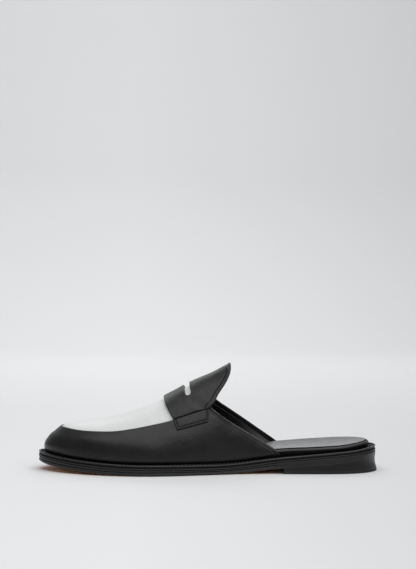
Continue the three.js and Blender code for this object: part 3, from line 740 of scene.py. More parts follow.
def shell_mesh(outer, inner, pole=False):
    """Two skins over one grid: joined all round, or each with a pole and joined by strips at the sides."""
    vertices = np.concatenate([outer.reshape(-1, 3), inner.reshape(-1, 3)])
    outer_index = np.arange(outer[..., 0].size).reshape(outer.shape[:2])
    inner_index = outer_index + outer_index.size
    inner_index[0] = outer_index[0]
    rim_faces = []
    if pole:
        outer_index[-1] = outer_index[-1, 0]
        inner_index[-1] = inner_index[-1, 0]
        rim_faces = grid_quads(np.stack([inner_index[:, 0], outer_index[:, 0]], 1))
        rim_faces += grid_quads(np.stack([outer_index[:, -1], inner_index[:, -1]], 1))
    else:
        inner_index[-1] = outer_index[-1]
        inner_index[:, [0, -1]] = outer_index[:, [0, -1]]
    inner_faces = [face[::-1] for face in grid_quads(inner_index)]
    return drop_loose(vertices, [grid_quads(outer_index), inner_faces, rim_faces])


def closed_skin(points, normals, outer_offset, inner_offset):
    """A closed patch between two offsets from the last, its two skins joined all round their edge."""
    outer = offset_points(points, normals, outer_offset)
    inner = offset_points(points, normals, inner_offset)
    vertices, (outer_faces, inner_faces, _) = shell_mesh(outer, inner)
    return vertices, turned_out(vertices, outer_faces + inner_faces)


# Materials: each leather's grain, gloss and uneven tone, from noise in the shoe's own metres

def shader_inputs(material):
    return material.node_tree.nodes["Principled BSDF"].inputs


def new_material(name, color, roughness, coat=0.0, coat_roughness=0.3, specular=0.5):
    """A principled material, its constant values set on the shader's own sockets."""
    material = bpy.data.materials.new(name)
    material.use_nodes = True
    inputs = shader_inputs(material)
    inputs["Base Color"].default_value = (*color, 1)
    inputs["Roughness"].default_value = roughness
    inputs["Coat Weight"].default_value = coat
    inputs["Coat Roughness"].default_value = coat_roughness
    inputs["Specular IOR Level"].default_value = specular
    return material


def node(material, kind, inputs=None, **settings):
    made = material.node_tree.nodes.new(kind)
    for key, value in settings.items():
        setattr(made, key, value)
    for key, value in (inputs or {}).items():
        made.inputs[key].default_value = value
    return made


def link(material, source, target):
    material.node_tree.links.new(source, target)


def place_node(material, stretch=(1, 1, 1)):
    """The shoe's own coordinates in metres, stretched for a grain that runs one way."""
    coordinates = node(material, "ShaderNodeTexCoord")
    mapping = node(material, "ShaderNodeMapping", {"Scale": stretch})
    link(material, coordinates.outputs["Object"], mapping.inputs["Vector"])
    return mapping.outputs["Vector"]


def noise_node(material, place, scale, detail=4.0, roughness=0.55):
    made = node(material, "ShaderNodeTexNoise", {"Scale": scale, "Detail": detail, "Roughness": roughness})
    link(material, place, made.inputs["Vector"])
    return made.outputs["Fac"]


def cell_node(material, place, scale):
    made = node(material, "ShaderNodeTexVoronoi", {"Scale": scale}, feature="SMOOTH_F1")
    link(material, place, made.inputs["Vector"])
    return made.outputs["Distance"]


def range_node(material, value, from_low, from_high, to_low, to_high):
    ends = {"From Min": from_low, "From Max": from_high, "To Min": to_low, "To Max": to_high}
    made = node(material, "ShaderNodeMapRange", ends)
    link(material, value, made.inputs["Value"])
    return made.outputs["Result"]


def mix_colors(material, factor, first, second):
    """A colour, or a socket that gives one, turned by a factor into a second colour."""
    made = node(material, "ShaderNodeMix", {"B": (*second, 1)}, data_type="RGBA")
    if isinstance(first, tuple):
        made.inputs["A"].default_value = (*first, 1)
    else:
        link(material, first, made.inputs["A"])
    link(material, factor, made.inputs["Factor"])
    return made.outputs["Result"]


def axis_node(material, axis):
    """One of the shoe's own coordinates, in metres."""
    parts = node(material, "ShaderNodeSeparateXYZ")
    link(material, place_node(material), parts.inputs["Vector"])
    return parts.outputs[axis]


def shade_color(material, factor, color):
    """The base colour, turned by a factor into another one."""
    target = shader_inputs(material)["Base Color"]
    link(material, mix_colors(material, factor, target.links[0].from_socket, color), target)


def bump_chain(material, layers):
    """Bumps on one another: pairs of a height and its depth in metres."""
    target = shader_inputs(material)["Normal"]
    for height, depth in layers:
        bump = node(material, "ShaderNodeBump", {"Strength": 1.0, "Distance": depth})
        link(material, height, bump.inputs["Height"])
        if target.links:
            link(material, target.links[0].from_socket, bump.inputs["Normal"])
        link(material, bump.outputs["Normal"], target)


def paint(material, tone, colors, smudges, gloss):
    """Two colours mixed by one noise, and a gloss that varies with another."""
    inputs = shader_inputs(material)
    factor = range_node(material, tone, 0.35, 0.65, 0, 1)
    link(material, mix_colors(material, factor, *colors), inputs["Base Color"])
    link(material, range_node(material, smudges, 0.3, 0.7, *gloss), inputs["Roughness"])


def leather(name, dark, light, gloss, coat, grain, specular=0.5):
    """Grained leather: two close colours in clouds, uneven gloss, a cell grain and fine pores.

    coat is its weight and roughness; grain is the cells' scale, and the depths in metres of cells and pores.
    """
    cell_scale, cell_depth, pore_depth = grain
    material = new_material(name, dark, gloss[0], *coat, specular)
    place = place_node(material)
    clouds = noise_node(material, place, 45, 5.0, 0.6)
    smudges = noise_node(material, place, 90, 6.0, 0.65)
    paint(material, clouds, (dark, light), smudges, gloss)
    cells = cell_node(material, place, cell_scale)
    waves = noise_node(material, place, 160, 3.0, 0.5)
    pores = noise_node(material, place, cell_scale * 2.6, 2.0, 0.5)
    bump_chain(material, [(waves, 0.00025), (cells, cell_depth), (pores, pore_depth)])
    return material


def streaked(name, dark, light, gloss, coat, stretch, depth, specular=0.5):
    """Burnished or cut leather, its fibres drawn out along the edge."""
    material = new_material(name, dark, gloss[0], *coat, specular)
    fibres = noise_node(material, place_node(material, stretch), 260, 6.0, 0.6)
    clouds = noise_node(material, place_node(material), 60, 4.0, 0.6)
    paint(material, fibres, (dark, light), clouds, gloss)
    bump_chain(material, [(clouds, 0.0002), (fibres, depth)])
    return material


FINE_GRAIN = (950, 6e-5, 3e-5)
SADDLE_GRAIN = (950, 7e-5, 3e-5)
ALONG_EDGE = (0.15, 0.15, 1.2)
dark, light = (0.0035, 0.0035, 0.0037), (0.0065, 0.0065, 0.0068)
black_calf = leather("black_calf", dark, light, (0.3, 0.42), (0.05, 0.25), FINE_GRAIN, 0.33)
dark, light = (0.011, 0.011, 0.0115), (0.016, 0.016, 0.0165)
saddle_calf = leather("saddle_calf", dark, light, (0.34, 0.46), (0.03, 0.3), SADDLE_GRAIN, 0.26)
dark, light = (0.64, 0.648, 0.645), (0.69, 0.695, 0.69)
white_calf = leather("white_calf", dark, light, (0.42, 0.55), (0.1, 0.35), (1000, 6e-5, 3e-5), 0.4)
# Painted reflection: the lining is a dark leather, painted grey to stand in for the light its gloss catches
# on the far wall
dark, light = (0.15, 0.152, 0.156), (0.22, 0.224, 0.23)
lining_leather = leather("lining_leather", dark, light, (0.32, 0.46), (0.1, 0.3), (800, 8e-5, 4e-5))
dark, light = (0.012, 0.012, 0.013), (0.022, 0.022, 0.024)
sock_leather = leather("sock_leather", dark, light, (0.32, 0.44), (0.08, 0.35), (800, 7e-5, 4e-5))
dark, light = (0.005, 0.005, 0.0054), (0.009, 0.009, 0.0096)
footbed_leather = leather("footbed_leather", dark, light, (0.34, 0.46), (0.08, 0.3), (900, 7e-5, 3e-5))
# Painted shade: a near-black matt leather for the sole's joints and grooves, the folds, the tab's stitch
# groove and the footbed's lower wall, where shade falls; on the sock's cut edge it is partly that edge's own
# black
dark, light = (0.002, 0.002, 0.002), (0.004, 0.004, 0.004)
painted_shade_black = leather("painted_shade_black", dark, light, (0.6, 0.75), (0.0, 0.5), (900, 4e-5, 2e-5), 0.15)
dark, light = (0.008, 0.008, 0.008), (0.012, 0.012, 0.012)
black_rubber = leather("black_rubber", dark, light, (0.6, 0.75), (0.0, 0.5), (1300, 1e-4, 6e-5), 0.4)
dark, light = (0.009, 0.009, 0.0095), (0.012, 0.012, 0.0125)
edge_black = streaked("edge_black", dark, light, (0.32, 0.44), (0.06, 0.3), ALONG_EDGE, 3e-5, 0.4)
dark, light = (0.006, 0.006, 0.0063), (0.009, 0.009, 0.0094)
heel_black = streaked("heel_black", dark, light, (0.36, 0.48), (0.03, 0.3), ALONG_EDGE, 3e-5, 0.32)
dark, light = (0.1, 0.038, 0.008), (0.15, 0.058, 0.013)
foot_brown = streaked("foot_brown", dark, light, (0.4, 0.55), (0.05, 0.3), (0.3, 0.3, 1.2), 3e-5, 0.3)
dark, light = (0.66, 0.28, 0.09), (0.78, 0.38, 0.14)
tan_leather = streaked("tan_leather", dark, light, (0.4, 0.58), (0.15, 0.3), (0.3, 1.0, 1.0), 8e-5)
dark, light = (0.014, 0.014, 0.015), (0.03, 0.03, 0.032)
black_thread = streaked("black_thread", dark, light, (0.36, 0.48), (0.08, 0.35), (1, 1, 1), 6e-5)

# Painted reflection: the sock is painted lighter towards the outer side, where it catches the backdrop at
# grazing angles
painted_sheen_share = range_node(sock_leather, axis_node(sock_leather, "Y"), -0.016, 0.026, 0, 1)
shade_color(sock_leather, painted_sheen_share, (0.15, 0.15, 0.155))
# Painted shade: the lining is painted darker deep in the shoe, where little light reaches
painted_deep_shade = range_node(lining_leather, axis_node(lining_leather, "X"), -0.064, -0.03, 0, 1)
shade_color(lining_leather, painted_deep_shade, (0.004, 0.004, 0.004))


# The upper, its lining below the facing, and painted shade: a dark line in the topline's fold

FACING_ROWS = len(TOPLINE_STEPS) - 3
FOLD_SHADE_ROWS = (7, 9)
vertices, (outer_faces, inner_faces, rim_faces) = shell_mesh(upper_outer, upper_inner, pole=True)
row_faces = grid_x.shape[1] - 1
upper_slots = np.array([0] * len(outer_faces) + [1] * len(inner_faces) + [0] * len(rim_faces))
upper_slots[len(outer_faces) :][: FACING_ROWS * row_faces] = 0
upper_slots[FOLD_SHADE_ROWS[0] * row_faces : FOLD_SHADE_ROWS[1] * row_faces] = 2
faces = turned_out(vertices, outer_faces + inner_faces + rim_faces)
upper_materials = [black_calf, lining_leather, painted_shade_black]
add_piece("upper_leather", vertices, faces, upper_materials, ["upper"], upper_slots)


# The white plug, a thin skin in the upper's bed with a hairline round it

PLUG_RIM_STEPS = np.array([0, 0.025, 0.09, 0.18, 0.3])
plug_steps = np.concatenate([np.linspace(0, 0.12, 14)[:-1], np.linspace(0.12, 1, 78)])
plug_x, plug_out_y, plug_in_y = plug_edges(plug_steps, -PLUG_GAP)
plug_turns = []
for station, out_y, in_y in zip(plug_x, plug_out_y, plug_in_y):
    lengths = section_lengths(station)
    ends = turn_at([station, station], [out_y, in_y])
    low, high = np.interp(ends, SECTION_TURNS, lengths)
    near = PLUG_RIM_STEPS * min(1.0, max(high - low, 1e-6) / 2)
    middle = np.linspace(low + near[-1], high - near[-1], PLUG_COLUMNS)[1:-1]
    places = np.concatenate([low + near, middle, high - near[::-1]])
    plug_turns.append(np.interp(places, lengths, SECTION_TURNS))
plug_turns = np.array(plug_turns)
plug_grid_x = np.repeat(plug_x[:, None], plug_turns.shape[1], axis=1)
plug_points = last_point(plug_grid_x, plug_turns)
plug_normals = last_normal(plug_grid_x, plug_turns)
plug_distance = nearest(plug_points, plug_outline(-PLUG_GAP))
plug_distance[:, [0, -1]] = 0
plug_distance[0] = 0
plug_profile = round_profile(plug_distance, PLUG_EDGE)
plug_profile[-1] = 0
pillow = 0.12 * smooth_step(plug_distance, 0, 4)
plug_middle = -PLUG_DROP - PLUG_THICKNESS / 2 + toe_offset(plug_points)
plug_outer = plug_middle + plug_profile * (PLUG_THICKNESS / 2 + pillow)
plug_inner = plug_middle - plug_profile * PLUG_THICKNESS / 2
vertices, faces = closed_skin(plug_points, plug_normals, plug_outer, plug_inner)
add_piece("plug_leather", vertices, faces, [white_calf], ["vamp_plug"])


# The saddle: rows from the tongue's edge to the front edge, columns from the outer seam over the crest
# to the inner one. Two rows part round the slot

saddle_front = side_line(SADDLE_FRONT_ROWS)
tongue_edge = side_line(TONGUE_ROWS)
saddle_seam = side_line(SADDLE_SEAM_ROWS)
BACK_CORNER = saddle_seam[0][0]
FRONT_CORNER = saddle_seam[-1][0]
SLOT_HALF = SLOT_LENGTH / 2 - SLOT_WIDTH / 2
SLOT_MIDDLE = float(crest_side(SLOT_AT)) + SLOT_SIDE
# The tongue's edge lies between the first two of these along the shoe, the front edge between the others
EDGE_LIMITS = np.array([0.36, 0.56, 0.67]) * SOLE_LENGTH
# Spacing of the saddle's rows, its height from the seam to the slot's end, and the pitch of its low columns
SADDLE_PITCH = 0.9
SEAM_SPAN = 22.0
LOW_PITCH = 0.035
# How far beyond the slot's round end its bow still runs, and over what length it then fades
BOW_REACH = 3
BOW_FADE = 14
# Half the width of the painted shade line in a fold or a stitched groove, and the beat of the painted shade
# dashes between stitches
FOLD_SHADE_LINE = 0.38
GROOVE_SHADE_LINE = 0.42
SHADE_DASH_BEAT = 3


def slot_bow(y):
    """How far forward the slot's line lies at y: its ends bend back."""
    return -SLOT_BOW * ((y - SLOT_MIDDLE) / SLOT_HALF) ** 2


def slot_half_width(y):
    """Half the slot's width at y: round at its ends, nothing beyond them."""
    beyond = np.maximum(0, np.abs(y - SLOT_MIDDLE) - SLOT_HALF)
    radius = SLOT_WIDTH / 2
    return np.sqrt(np.maximum(0, radius**2 - np.minimum(beyond, radius) ** 2))


end_angles = np.linspace(0, np.pi / 2, 9)[1:]
round_end = SLOT_HALF + SLOT_WIDTH / 2 * np.sin(end_angles)
SLOT_TIP = round_end[-1]
past_end = SLOT_TIP + np.concatenate([corner_steps(SADDLE_ROUND)[1:], SADDLE_ROUND + np.array([0.6, 1.4])])
half_columns = np.concatenate([np.linspace(0, SLOT_HALF, 22), round_end, past_end])
slot_columns = SLOT_MIDDLE + np.concatenate([half_columns[::-1], -half_columns[1:]])
slot_turns = turn_at(np.full(slot_columns.shape, SLOT_AT) + slot_bow(slot_columns), slot_columns)


def bottom_turn(x, side):
    """The turn of the saddle's lower seam at x."""
    return seam_turn(saddle_seam, np.clip(x, BACK_CORNER, FRONT_CORNER), side)


def share_of(turn, side):
    """How far a turn at the slot lies up from the seam, 0, to the crest, 1."""
    low = bottom_turn(SLOT_AT, side)
    return (turn - low) / (np.pi / 2 - low)


outer_shares = share_of(slot_turns[slot_turns <= np.pi / 2], 1)
inner_shares = share_of(slot_turns[slot_turns > np.pi / 2], -1)
low_steps = rounded_steps(SADDLE_ROUND / SEAM_SPAN, LOW_PITCH, round_end=False)
low_steps = low_steps[low_steps < 0.96]
outer_low = low_steps * outer_shares[0]
inner_low = low_steps * inner_shares[-1]
shares = np.concatenate([outer_low, outer_shares, inner_shares, inner_low[::-1]])
on_outer = np.arange(len(shares)) < len(outer_low) + len(outer_shares)


def saddle_turns(u):
    """Turns of the saddle's columns at a share u of the way from the tongue's edge to the front edge."""
    x = BACK_CORNER + (FRONT_CORNER - BACK_CORNER) * u
    low = np.where(on_outer, bottom_turn(x, 1), bottom_turn(x, -1))
    return low + (np.pi / 2 - low) * shares


def tongue_place(turns):
    """Where the tongue's edge lies at some turns."""
    return edge_place(tongue_edge, turns, *EDGE_LIMITS[:2])


back_edge_turns = saddle_turns(0.0)
front_edge_turns = saddle_turns(1.0)
back_edge_x = tongue_place(back_edge_turns)
front_edge_x = edge_place(saddle_front, front_edge_turns, *EDGE_LIMITS[1:])

# The line of the slot runs on beyond its ends, where its bow fades out
slot_u = (SLOT_AT - BACK_CORNER) / (FRONT_CORNER - BACK_CORNER)
slot_row_turns = saddle_turns(slot_u)
slot_row_y = last_point(np.full(slot_row_turns.shape, SLOT_AT), slot_row_turns)[:, 1]
BOW_END = SLOT_TIP + BOW_REACH
beyond_bow = np.abs(slot_row_y - SLOT_MIDDLE) - BOW_END
faded_bow = float(slot_bow(SLOT_MIDDLE + BOW_END)) * (1 - np.clip(beyond_bow / BOW_FADE, 0, 1))
bowed = SLOT_AT + np.where(beyond_bow < 0, slot_bow(slot_row_y), faded_bow)
half_width = slot_half_width(slot_row_y)


def saddle_rows(low_x, high_x, low_u, high_u):
    """Rows of the saddle between two of its lines, close together at both, as places and turns."""
    span = float(np.median(high_x - low_x + half_width))
    steps = rounded_steps(SADDLE_ROUND / span, SADDLE_PITCH / span)
    rows_x = [low_x + (high_x - low_x) * share for share in steps]
    rows_turn = [saddle_turns(low_u + (high_u - low_u) * share) for share in steps]
    return np.array(rows_x), np.array(rows_turn)


def dense(line, factor=8):
    """A line of points with more points between them."""
    places = np.arange(len(line))
    fine = np.linspace(0, len(line) - 1, (len(line) - 1) * factor + 1)
    return np.stack([np.interp(fine, places, line[:, k]) for k in range(3)], 1)


# The two parts, and the lines round them by which distances to an edge are found
back_part = saddle_rows(back_edge_x, bowed - half_width, 0.0, slot_u)
front_part = saddle_rows(bowed + half_width, front_edge_x, slot_u, 1.0)
back_rim = dense(last_point(back_edge_x, back_edge_turns))
seam_places = np.linspace(BACK_CORNER, FRONT_CORNER, 200)
side_rims = [last_point(seam_places, bottom_turn(seam_places, side)) for side in (1, -1)]
saddle_rim = np.concatenate([dense(last_point(front_edge_x, front_edge_turns)), *side_rims])
in_slot = half_width > 1e-6
slot_first = np.flatnonzero(in_slot)[0] - 1
slot_last = np.flatnonzero(in_slot)[-1] + 1
slot_rims = []
for slot_edge in (bowed - half_width, bowed + half_width):
    edge_points = last_point(slot_edge, slot_row_turns)[slot_first : slot_last + 1]
    slot_rims.append(dense(edge_points, 6))
slot_rim = np.concatenate(slot_rims)


def saddle_surfaces(part):
    """Outer and inner points of a part of the saddle, its edges rounded and its fold pressed in."""
    points = last_point(*part)
    normals = last_normal(*part)
    to_back = nearest(points, back_rim)
    to_slot = nearest(points, slot_rim)
    to_edge = np.minimum(np.minimum(nearest(points, saddle_rim), to_back), to_slot)
    profile = round_profile(to_edge, SADDLE_ROUND)
    half = SADDLE_THICKNESS / 2
    middle = SADDLE_LOW + half
    shaped = crease_offset(points, CREASES)
    shaped += 0.1 * bell(to_slot, 1.2, 0.9) + 0.03 * bell(to_slot, 0, 3)
    shaped += 0.12 * bell(to_back, 2.4, 0.8) + 0.2 * bell(to_back, 1, 0.4)
    shaped -= 0.45 * bell(to_back, TONGUE_FOLD, 0.5)
    outer = offset_points(points, normals, middle + profile * (half + shaped))
    inner = offset_points(points, normals, middle - profile * half)
    return outer, inner, to_back


def face_means(values):
    """The mean of a grid's values at the corners of each of its quads, row by row."""
    corners = values[:-1, :-1] + values[1:, :-1] + values[:-1, 1:] + values[1:, 1:]
    return corners.reshape(-1) / 4


back_outer, back_inner, back_depth = saddle_surfaces(back_part)
front_outer, front_inner, _ = saddle_surfaces(front_part)
saddle_outer = np.concatenate([back_outer, front_outer])
saddle_inner = np.concatenate([back_inner, front_inner])
outer_index = np.arange(saddle_outer[..., 0].size).reshape(saddle_outer.shape[:2])
inner_index = outer_index + outer_index.size
# Both parts share their points in the row where they meet, except along the slot, where the skins close
cut_row = len(back_outer)
columns = np.arange(outer_index.shape[1])
at_slot = (columns >= slot_first) & (columns <= slot_last)
outer_index[cut_row] = np.where(in_slot, outer_index[cut_row], outer_index[cut_row - 1])
inner_index[cut_row] = np.where(at_slot, outer_index[cut_row], inner_index[cut_row - 1])
inner_index[cut_row - 1] = np.where(at_slot, outer_index[cut_row - 1], inner_index[cut_row - 1])
inner_index[[0, -1]] = outer_index[[0, -1]]
inner_index[:, [0, -1]] = outer_index[:, [0, -1]]
outer_faces = grid_quads(outer_index[:cut_row]) + grid_quads(outer_index[cut_row:])
inner_faces = grid_quads(inner_index[:cut_row]) + grid_quads(inner_index[cut_row:])
inner_faces = [face[::-1] for face in inner_faces]
vertices = np.concatenate([saddle_outer.reshape(-1, 3), saddle_inner.reshape(-1, 3)])
vertices, (outer_faces, inner_faces) = drop_loose(vertices, [outer_faces, inner_faces])
saddle_slots = np.array([0] * len(outer_faces) + [1] * len(inner_faces))
# Painted shade: the faces along the tongue's pressed-in fold take the near-black material
saddle_slots[np.flatnonzero(np.abs(face_means(back_depth) - TONGUE_FOLD) < FOLD_SHADE_LINE)] = 2
faces = turned_out(vertices, outer_faces + inner_faces)
saddle_materials = [saddle_calf, lining_leather, painted_shade_black]
add_piece("saddle_leather", vertices, faces, saddle_materials, ["saddle"], saddle_slots)


# The tabs that hold the saddle's ends, each a patch drawn in the outer side's view

tab_foot = side_line(TAB_ROWS)


def tab_view(u, v):
    """A point of the tab in the side view: u from its back to its front, v from its foot to the seam."""
    top_x = BACK_CORNER + (FRONT_CORNER - BACK_CORNER) * u
    top_z = np.interp(top_x, saddle_seam[:, 0], saddle_seam[:, 1]) - TAB_SEAM_GAP
    foot_x = tab_foot[0][0] + (tab_foot[-1][0] - tab_foot[0][0]) * u
    foot_z = np.interp(foot_x, tab_foot[:, 0], tab_foot[:, 1])
    return foot_x + (top_x - foot_x) * v, foot_z + (top_z - foot_z) * v


def make_tab(name, side):
    """A tab with its edges rounded and a groove for its stitches, painted dark in dashes between them as
    painted shade.
    """
    u = rounded_steps(TAB_ROUND / TAB_LENGTH, 0.6 / TAB_LENGTH)
    v = rounded_steps(TAB_ROUND / TAB_HEIGHT, 0.55 / TAB_HEIGHT)
    v_grid, u_grid = np.meshgrid(v, u, indexing="ij")
    x, z = tab_view(u_grid, v_grid)
    turns = view_turn(x, z, side)
    across = np.minimum(u_grid, 1 - u_grid) * TAB_LENGTH
    up = np.minimum(v_grid, 1 - v_grid) * TAB_HEIGHT
    profile = round_profile(np.minimum(across, up), TAB_ROUND)
    sewn = np.minimum(across, v_grid * TAB_HEIGHT)
    half = TAB_THICKNESS / 2
    middle = TAB_LOW + half
    shaped = -0.5 * bell(sewn, TAB_STITCH_INSET, 0.5) + 0.1 * smooth_step(sewn, 2.2, 4.5)
    outer_offset = middle + profile * (half + shaped)
    inner_offset = middle - profile * half
    vertices, faces = closed_skin(last_point(x, turns), last_normal(x, turns), outer_offset, inner_offset)
    face_slots = np.zeros(len(faces), int)
    columns = sewn.shape[1] - 1
    # Painted shade: dashes of the groove take the near-black material
    groove = np.flatnonzero(np.abs(face_means(sewn) - TAB_STITCH_INSET) < GROOVE_SHADE_LINE)
    face_slots[groove] = (groove // columns + groove % columns) % SHADE_DASH_BEAT > 0
    materials = [saddle_calf, painted_shade_black]
    add_piece(name + "_leather", vertices, faces, materials, [name], face_slots)


make_tab("tab_lateral", 1)
make_tab("tab_medial", -1)


# Stitches: short threads that rise from the leather and dive back into it

THREAD_RINGS = 5
THREAD_SIDES = 6


def stitch_row(name, points, normals, stitch, slot):
    """A seam along a line of points: one mesh of evenly spaced stitches."""
    length, pitch, radius, rise = stitch
    steps = np.linalg.norm(np.diff(points, axis=0), axis=1)
    places = np.concatenate([[0.0], np.cumsum(steps)])
    count = max(1, int(places[-1] // pitch))
    spacing = places[-1] / count

    def at(place, values):
        return np.array([np.interp(place, places, values[:, i]) for i in range(3)])

    vertices = []
    faces = []
    for k in range(count):
        centre = (k + 0.5) * spacing
        middle = at(centre, points)
        ahead = at(min(centre + 0.4, places[-1]), points) - at(max(centre - 0.4, 0), points)
        tangent = ahead / np.linalg.norm(ahead)
        normal = at(centre, normals)
        normal = normal - tangent * normal.dot(tangent)
        normal = normal / np.linalg.norm(normal)
        across = np.cross(normal, tangent)
        base = len(vertices)
        for ring in range(THREAD_RINGS):
            share = -1 + 2 * ring / (THREAD_RINGS - 1)
            lift = rise * (1 - share**2) - radius * 0.9 * share**4
            thick = radius * math.sqrt(max(0.12, 1 - share**6))
            spot = middle + tangent * share * length / 2 + normal * lift
            for corner in range(THREAD_SIDES):
                angle = 2 * math.pi * corner / THREAD_SIDES
                vertices.append(spot + thick * (math.cos(angle) * across + math.sin(angle) * normal))
        faces += band_faces(THREAD_SIDES, THREAD_RINGS, base)
        end = base + (THREAD_RINGS - 1) * THREAD_SIDES
        faces.append(tuple(base + corner for corner in range(THREAD_SIDES))[::-1])
        faces.append(tuple(end + corner for corner in range(THREAD_SIDES)))
    add_piece(name, vertices, turned_out(vertices, faces), [black_thread])


def on_last_line(x, turns, offset):
    """Points at an offset from the last, with their normals."""
    points = last_point(x, turns)
    normals = last_normal(x, turns)
    return points + normals * offset, normals


# Each tab is sewn down its front, along its foot and up its back
inset_u = TAB_STITCH_INSET / TAB_LENGTH
inset_v = TAB_STITCH_INSET / TAB_HEIGHT
down = np.linspace(1 - 0.6 / TAB_HEIGHT, inset_v, 40)
along = np.linspace(1 - inset_u, inset_u, 80)
path_u = np.concatenate([np.full(40, 1 - inset_u), along, np.full(40, inset_u)])
path_v = np.concatenate([down, np.full(80, inset_v), down[::-1]])
path_x, path_z = tab_view(path_u, path_v)
for tab_name, tab_side in (("tab_lateral", 1), ("tab_medial", -1)):
    path_turns = view_turn(path_x, path_z, tab_side)
    seam = on_last_line(path_x, path_turns, TAB_LOW + TAB_THICKNESS - THREAD_SUNK)
    stitch_row(tab_name + "_stitches", *seam, TAB_STITCH, "black_calf")

stitched = topline_fine_x + TOPLINE_STITCH_INSET / np.interp(topline_fine_turns, throat_turns, slant)
shown = (topline_fine_turns > 0.1) & (topline_fine_turns < np.pi - 0.1)
shown = shown & (topline_fine_x < 0.487 * SOLE_LENGTH)
for line_name, line_side in (("topline_stitches_lateral", 1), ("topline_stitches_medial", -1)):
    on_side = shown & (line_side * (np.pi / 2 - topline_fine_turns) > 0.45)
    seam = on_last_line(stitched[on_side], topline_fine_turns[on_side], -THREAD_SUNK)
    stitch_row(line_name, *seam, TOPLINE_STITCH, "black_calf")

tongue_turns = np.linspace(back_edge_turns[3], back_edge_turns[-4], 400)
tongue_x = tongue_place(tongue_turns)
fold_x = tongue_x + TONGUE_FOLD / square_run(tongue_x, tongue_turns, 0.4)
seam = on_last_line(fold_x, tongue_turns, SADDLE_LOW + SADDLE_THICKNESS - TONGUE_THREAD_SUNK)
stitch_row("tongue_stitches", *seam, TONGUE_STITCH, "black_calf")


# The sole: layers between rings that follow the outline

SOLE_STEPS = 170


def heel_share(x):
    """1 in front of the heel, 0 over it, where the layers are ground flush and their joints close up."""
    return smooth_step(x, HEEL_LENGTH - 4, HEEL_LENGTH + 10)


def wall_flare(x, share):
    """How far the heel's wall stands out, by the share of its height: hollow halfway up at the back."""
    at_back = 1 - smooth_step(x, 1, 20)
    return HEEL_FLARE * (1 - share) - HEEL_HOLLOW * at_back * np.sin(np.pi * share) ** 2


def flare_at(x, z):
    """The heel's flare at a height, for the sole's layers over it."""
    top = sole_bottom(x) + WELT_LOW
    return wall_flare(x, np.clip(z / top, 0, 1)) * (1 - heel_share(x))


def value_at(x, value):
    """A value that is a number everywhere, or a function of x."""
    return value(x) if callable(value) else value


def sole_ring(inset, height):
    """Points round the outline at an inset and a height over the sole's underside; both may vary with x."""
    sweeps = np.pi * np.arange(SOLE_STEPS + 1) / SOLE_STEPS
    sweeps = np.concatenate([sweeps, sweeps[-2:0:-1]])
    side = np.concatenate([np.ones(SOLE_STEPS + 1), -np.ones(SOLE_STEPS - 1)])
    plan_x = outline_point(sweeps, side)[0]
    flare = flare_at(plan_x, sole_bottom(plan_x) + value_at(plan_x, height))
    x, y = inset_point(sweeps, side, value_at(plan_x, inset) - flare)
    return np.stack([x, y, sole_bottom(x) + value_at(x, height)], -1)


def seat_camber(points):
    """How the footbed's top leans behind the ball: down to its outer side, a little up to the inner one."""
    x, y, z = points[:, 0], points[:, 1], points[:, 2]
    at = np.clip(x, 12, FEATHER_TIP - 20)
    outer = feather_edge(at, 1)
    inner = feather_edge(at, -1)
    across = np.clip((outer + inner - 2 * y) / (outer - inner), -1, 1)
    lean = 0.1 + across - 0.75 * across**2
    low = sole_bottom(x) + WELT_SHELF + 0.3
    risen = np.clip((z - low) / 4, 0, 1)
    along = smooth_step(x, 8, 34) * (1 - smooth_step(x, 0.3 * SOLE_LENGTH, 0.46 * SOLE_LENGTH))
    return SEAT_CAMBER * lean * risen * along


def sole_layer(name, rings, materials, ring_slots, node_name, closed=False, camber=False):
    """A layer through its rings, capped across at both ends unless its profile is closed."""
    count = 2 * SOLE_STEPS
    vertices = np.concatenate([sole_ring(inset, height) for inset, height in rings])
    if camber:
        vertices[:, 2] += seat_camber(vertices)
    faces = band_faces(count, len(rings), closed=closed)
    face_slots = list(np.repeat(ring_slots, count)[: len(faces)])
    if not closed:
        caps = ((0, ring_slots[0], -1), (len(vertices) - count, ring_slots[-1], 1))
        for base, slot_number, step in caps:
            for i in range(SOLE_STEPS):
                face = [i, i + 1, (count - i - 1) % count, (count - i) % count]
                face = [base + v for k, v in enumerate(face) if v != face[k - 1]]
                faces.append(tuple(face[::step]))
                face_slots.append(slot_number)
    add_piece(name, vertices, turned_out(vertices, faces), materials, [node_name], face_slots)


def ground(value):
    """A length of the sole's edge profile, of which only a trace is left over the heel."""
    return lambda x: value * (GROUND_TRACE + (1 - GROUND_TRACE) * heel_share(x))


def raised(level, value):
    """A height over a level by a length of the sole's edge profile."""
    return lambda x: level + ground(value)(x)


def outsole_top(x):
    """The top of the outsole, raised over the heel to meet the midsole."""
    return OUTSOLE_THICKNESS + (JOINT + 0.01) * (1 - heel_share(x))


def below_top(value):
    """A height under the outsole's top by a length of the sole's edge profile."""
    return lambda x: outsole_top(x) - ground(value)(x)


def toe_tuck(inset):
    """An inset of the outsole's lower edge, larger at the toe tip, where the edge runs back under it."""
    return lambda x: (1 + TOE_TUCK * smooth_step(x, 0.96 * SOLE_LENGTH, SOLE_LENGTH)) * ground(inset)(x)


def waist_dip(x):
    """How far the welt's edge sinks at the waist, where the layers are pressed thinner."""
    return WAIST_DIP * bell(x, WAIST_AT, WAIST_SPREAD)


def joint_drop(x):
    """How far the joint under the welt lies below the solids' own joint."""
    return JOINT_DROP * heel_share(x) + waist_dip(x)


def dropped(level):
    """A level that sinks with the joint under the welt."""
    return lambda x: level - joint_drop(x)
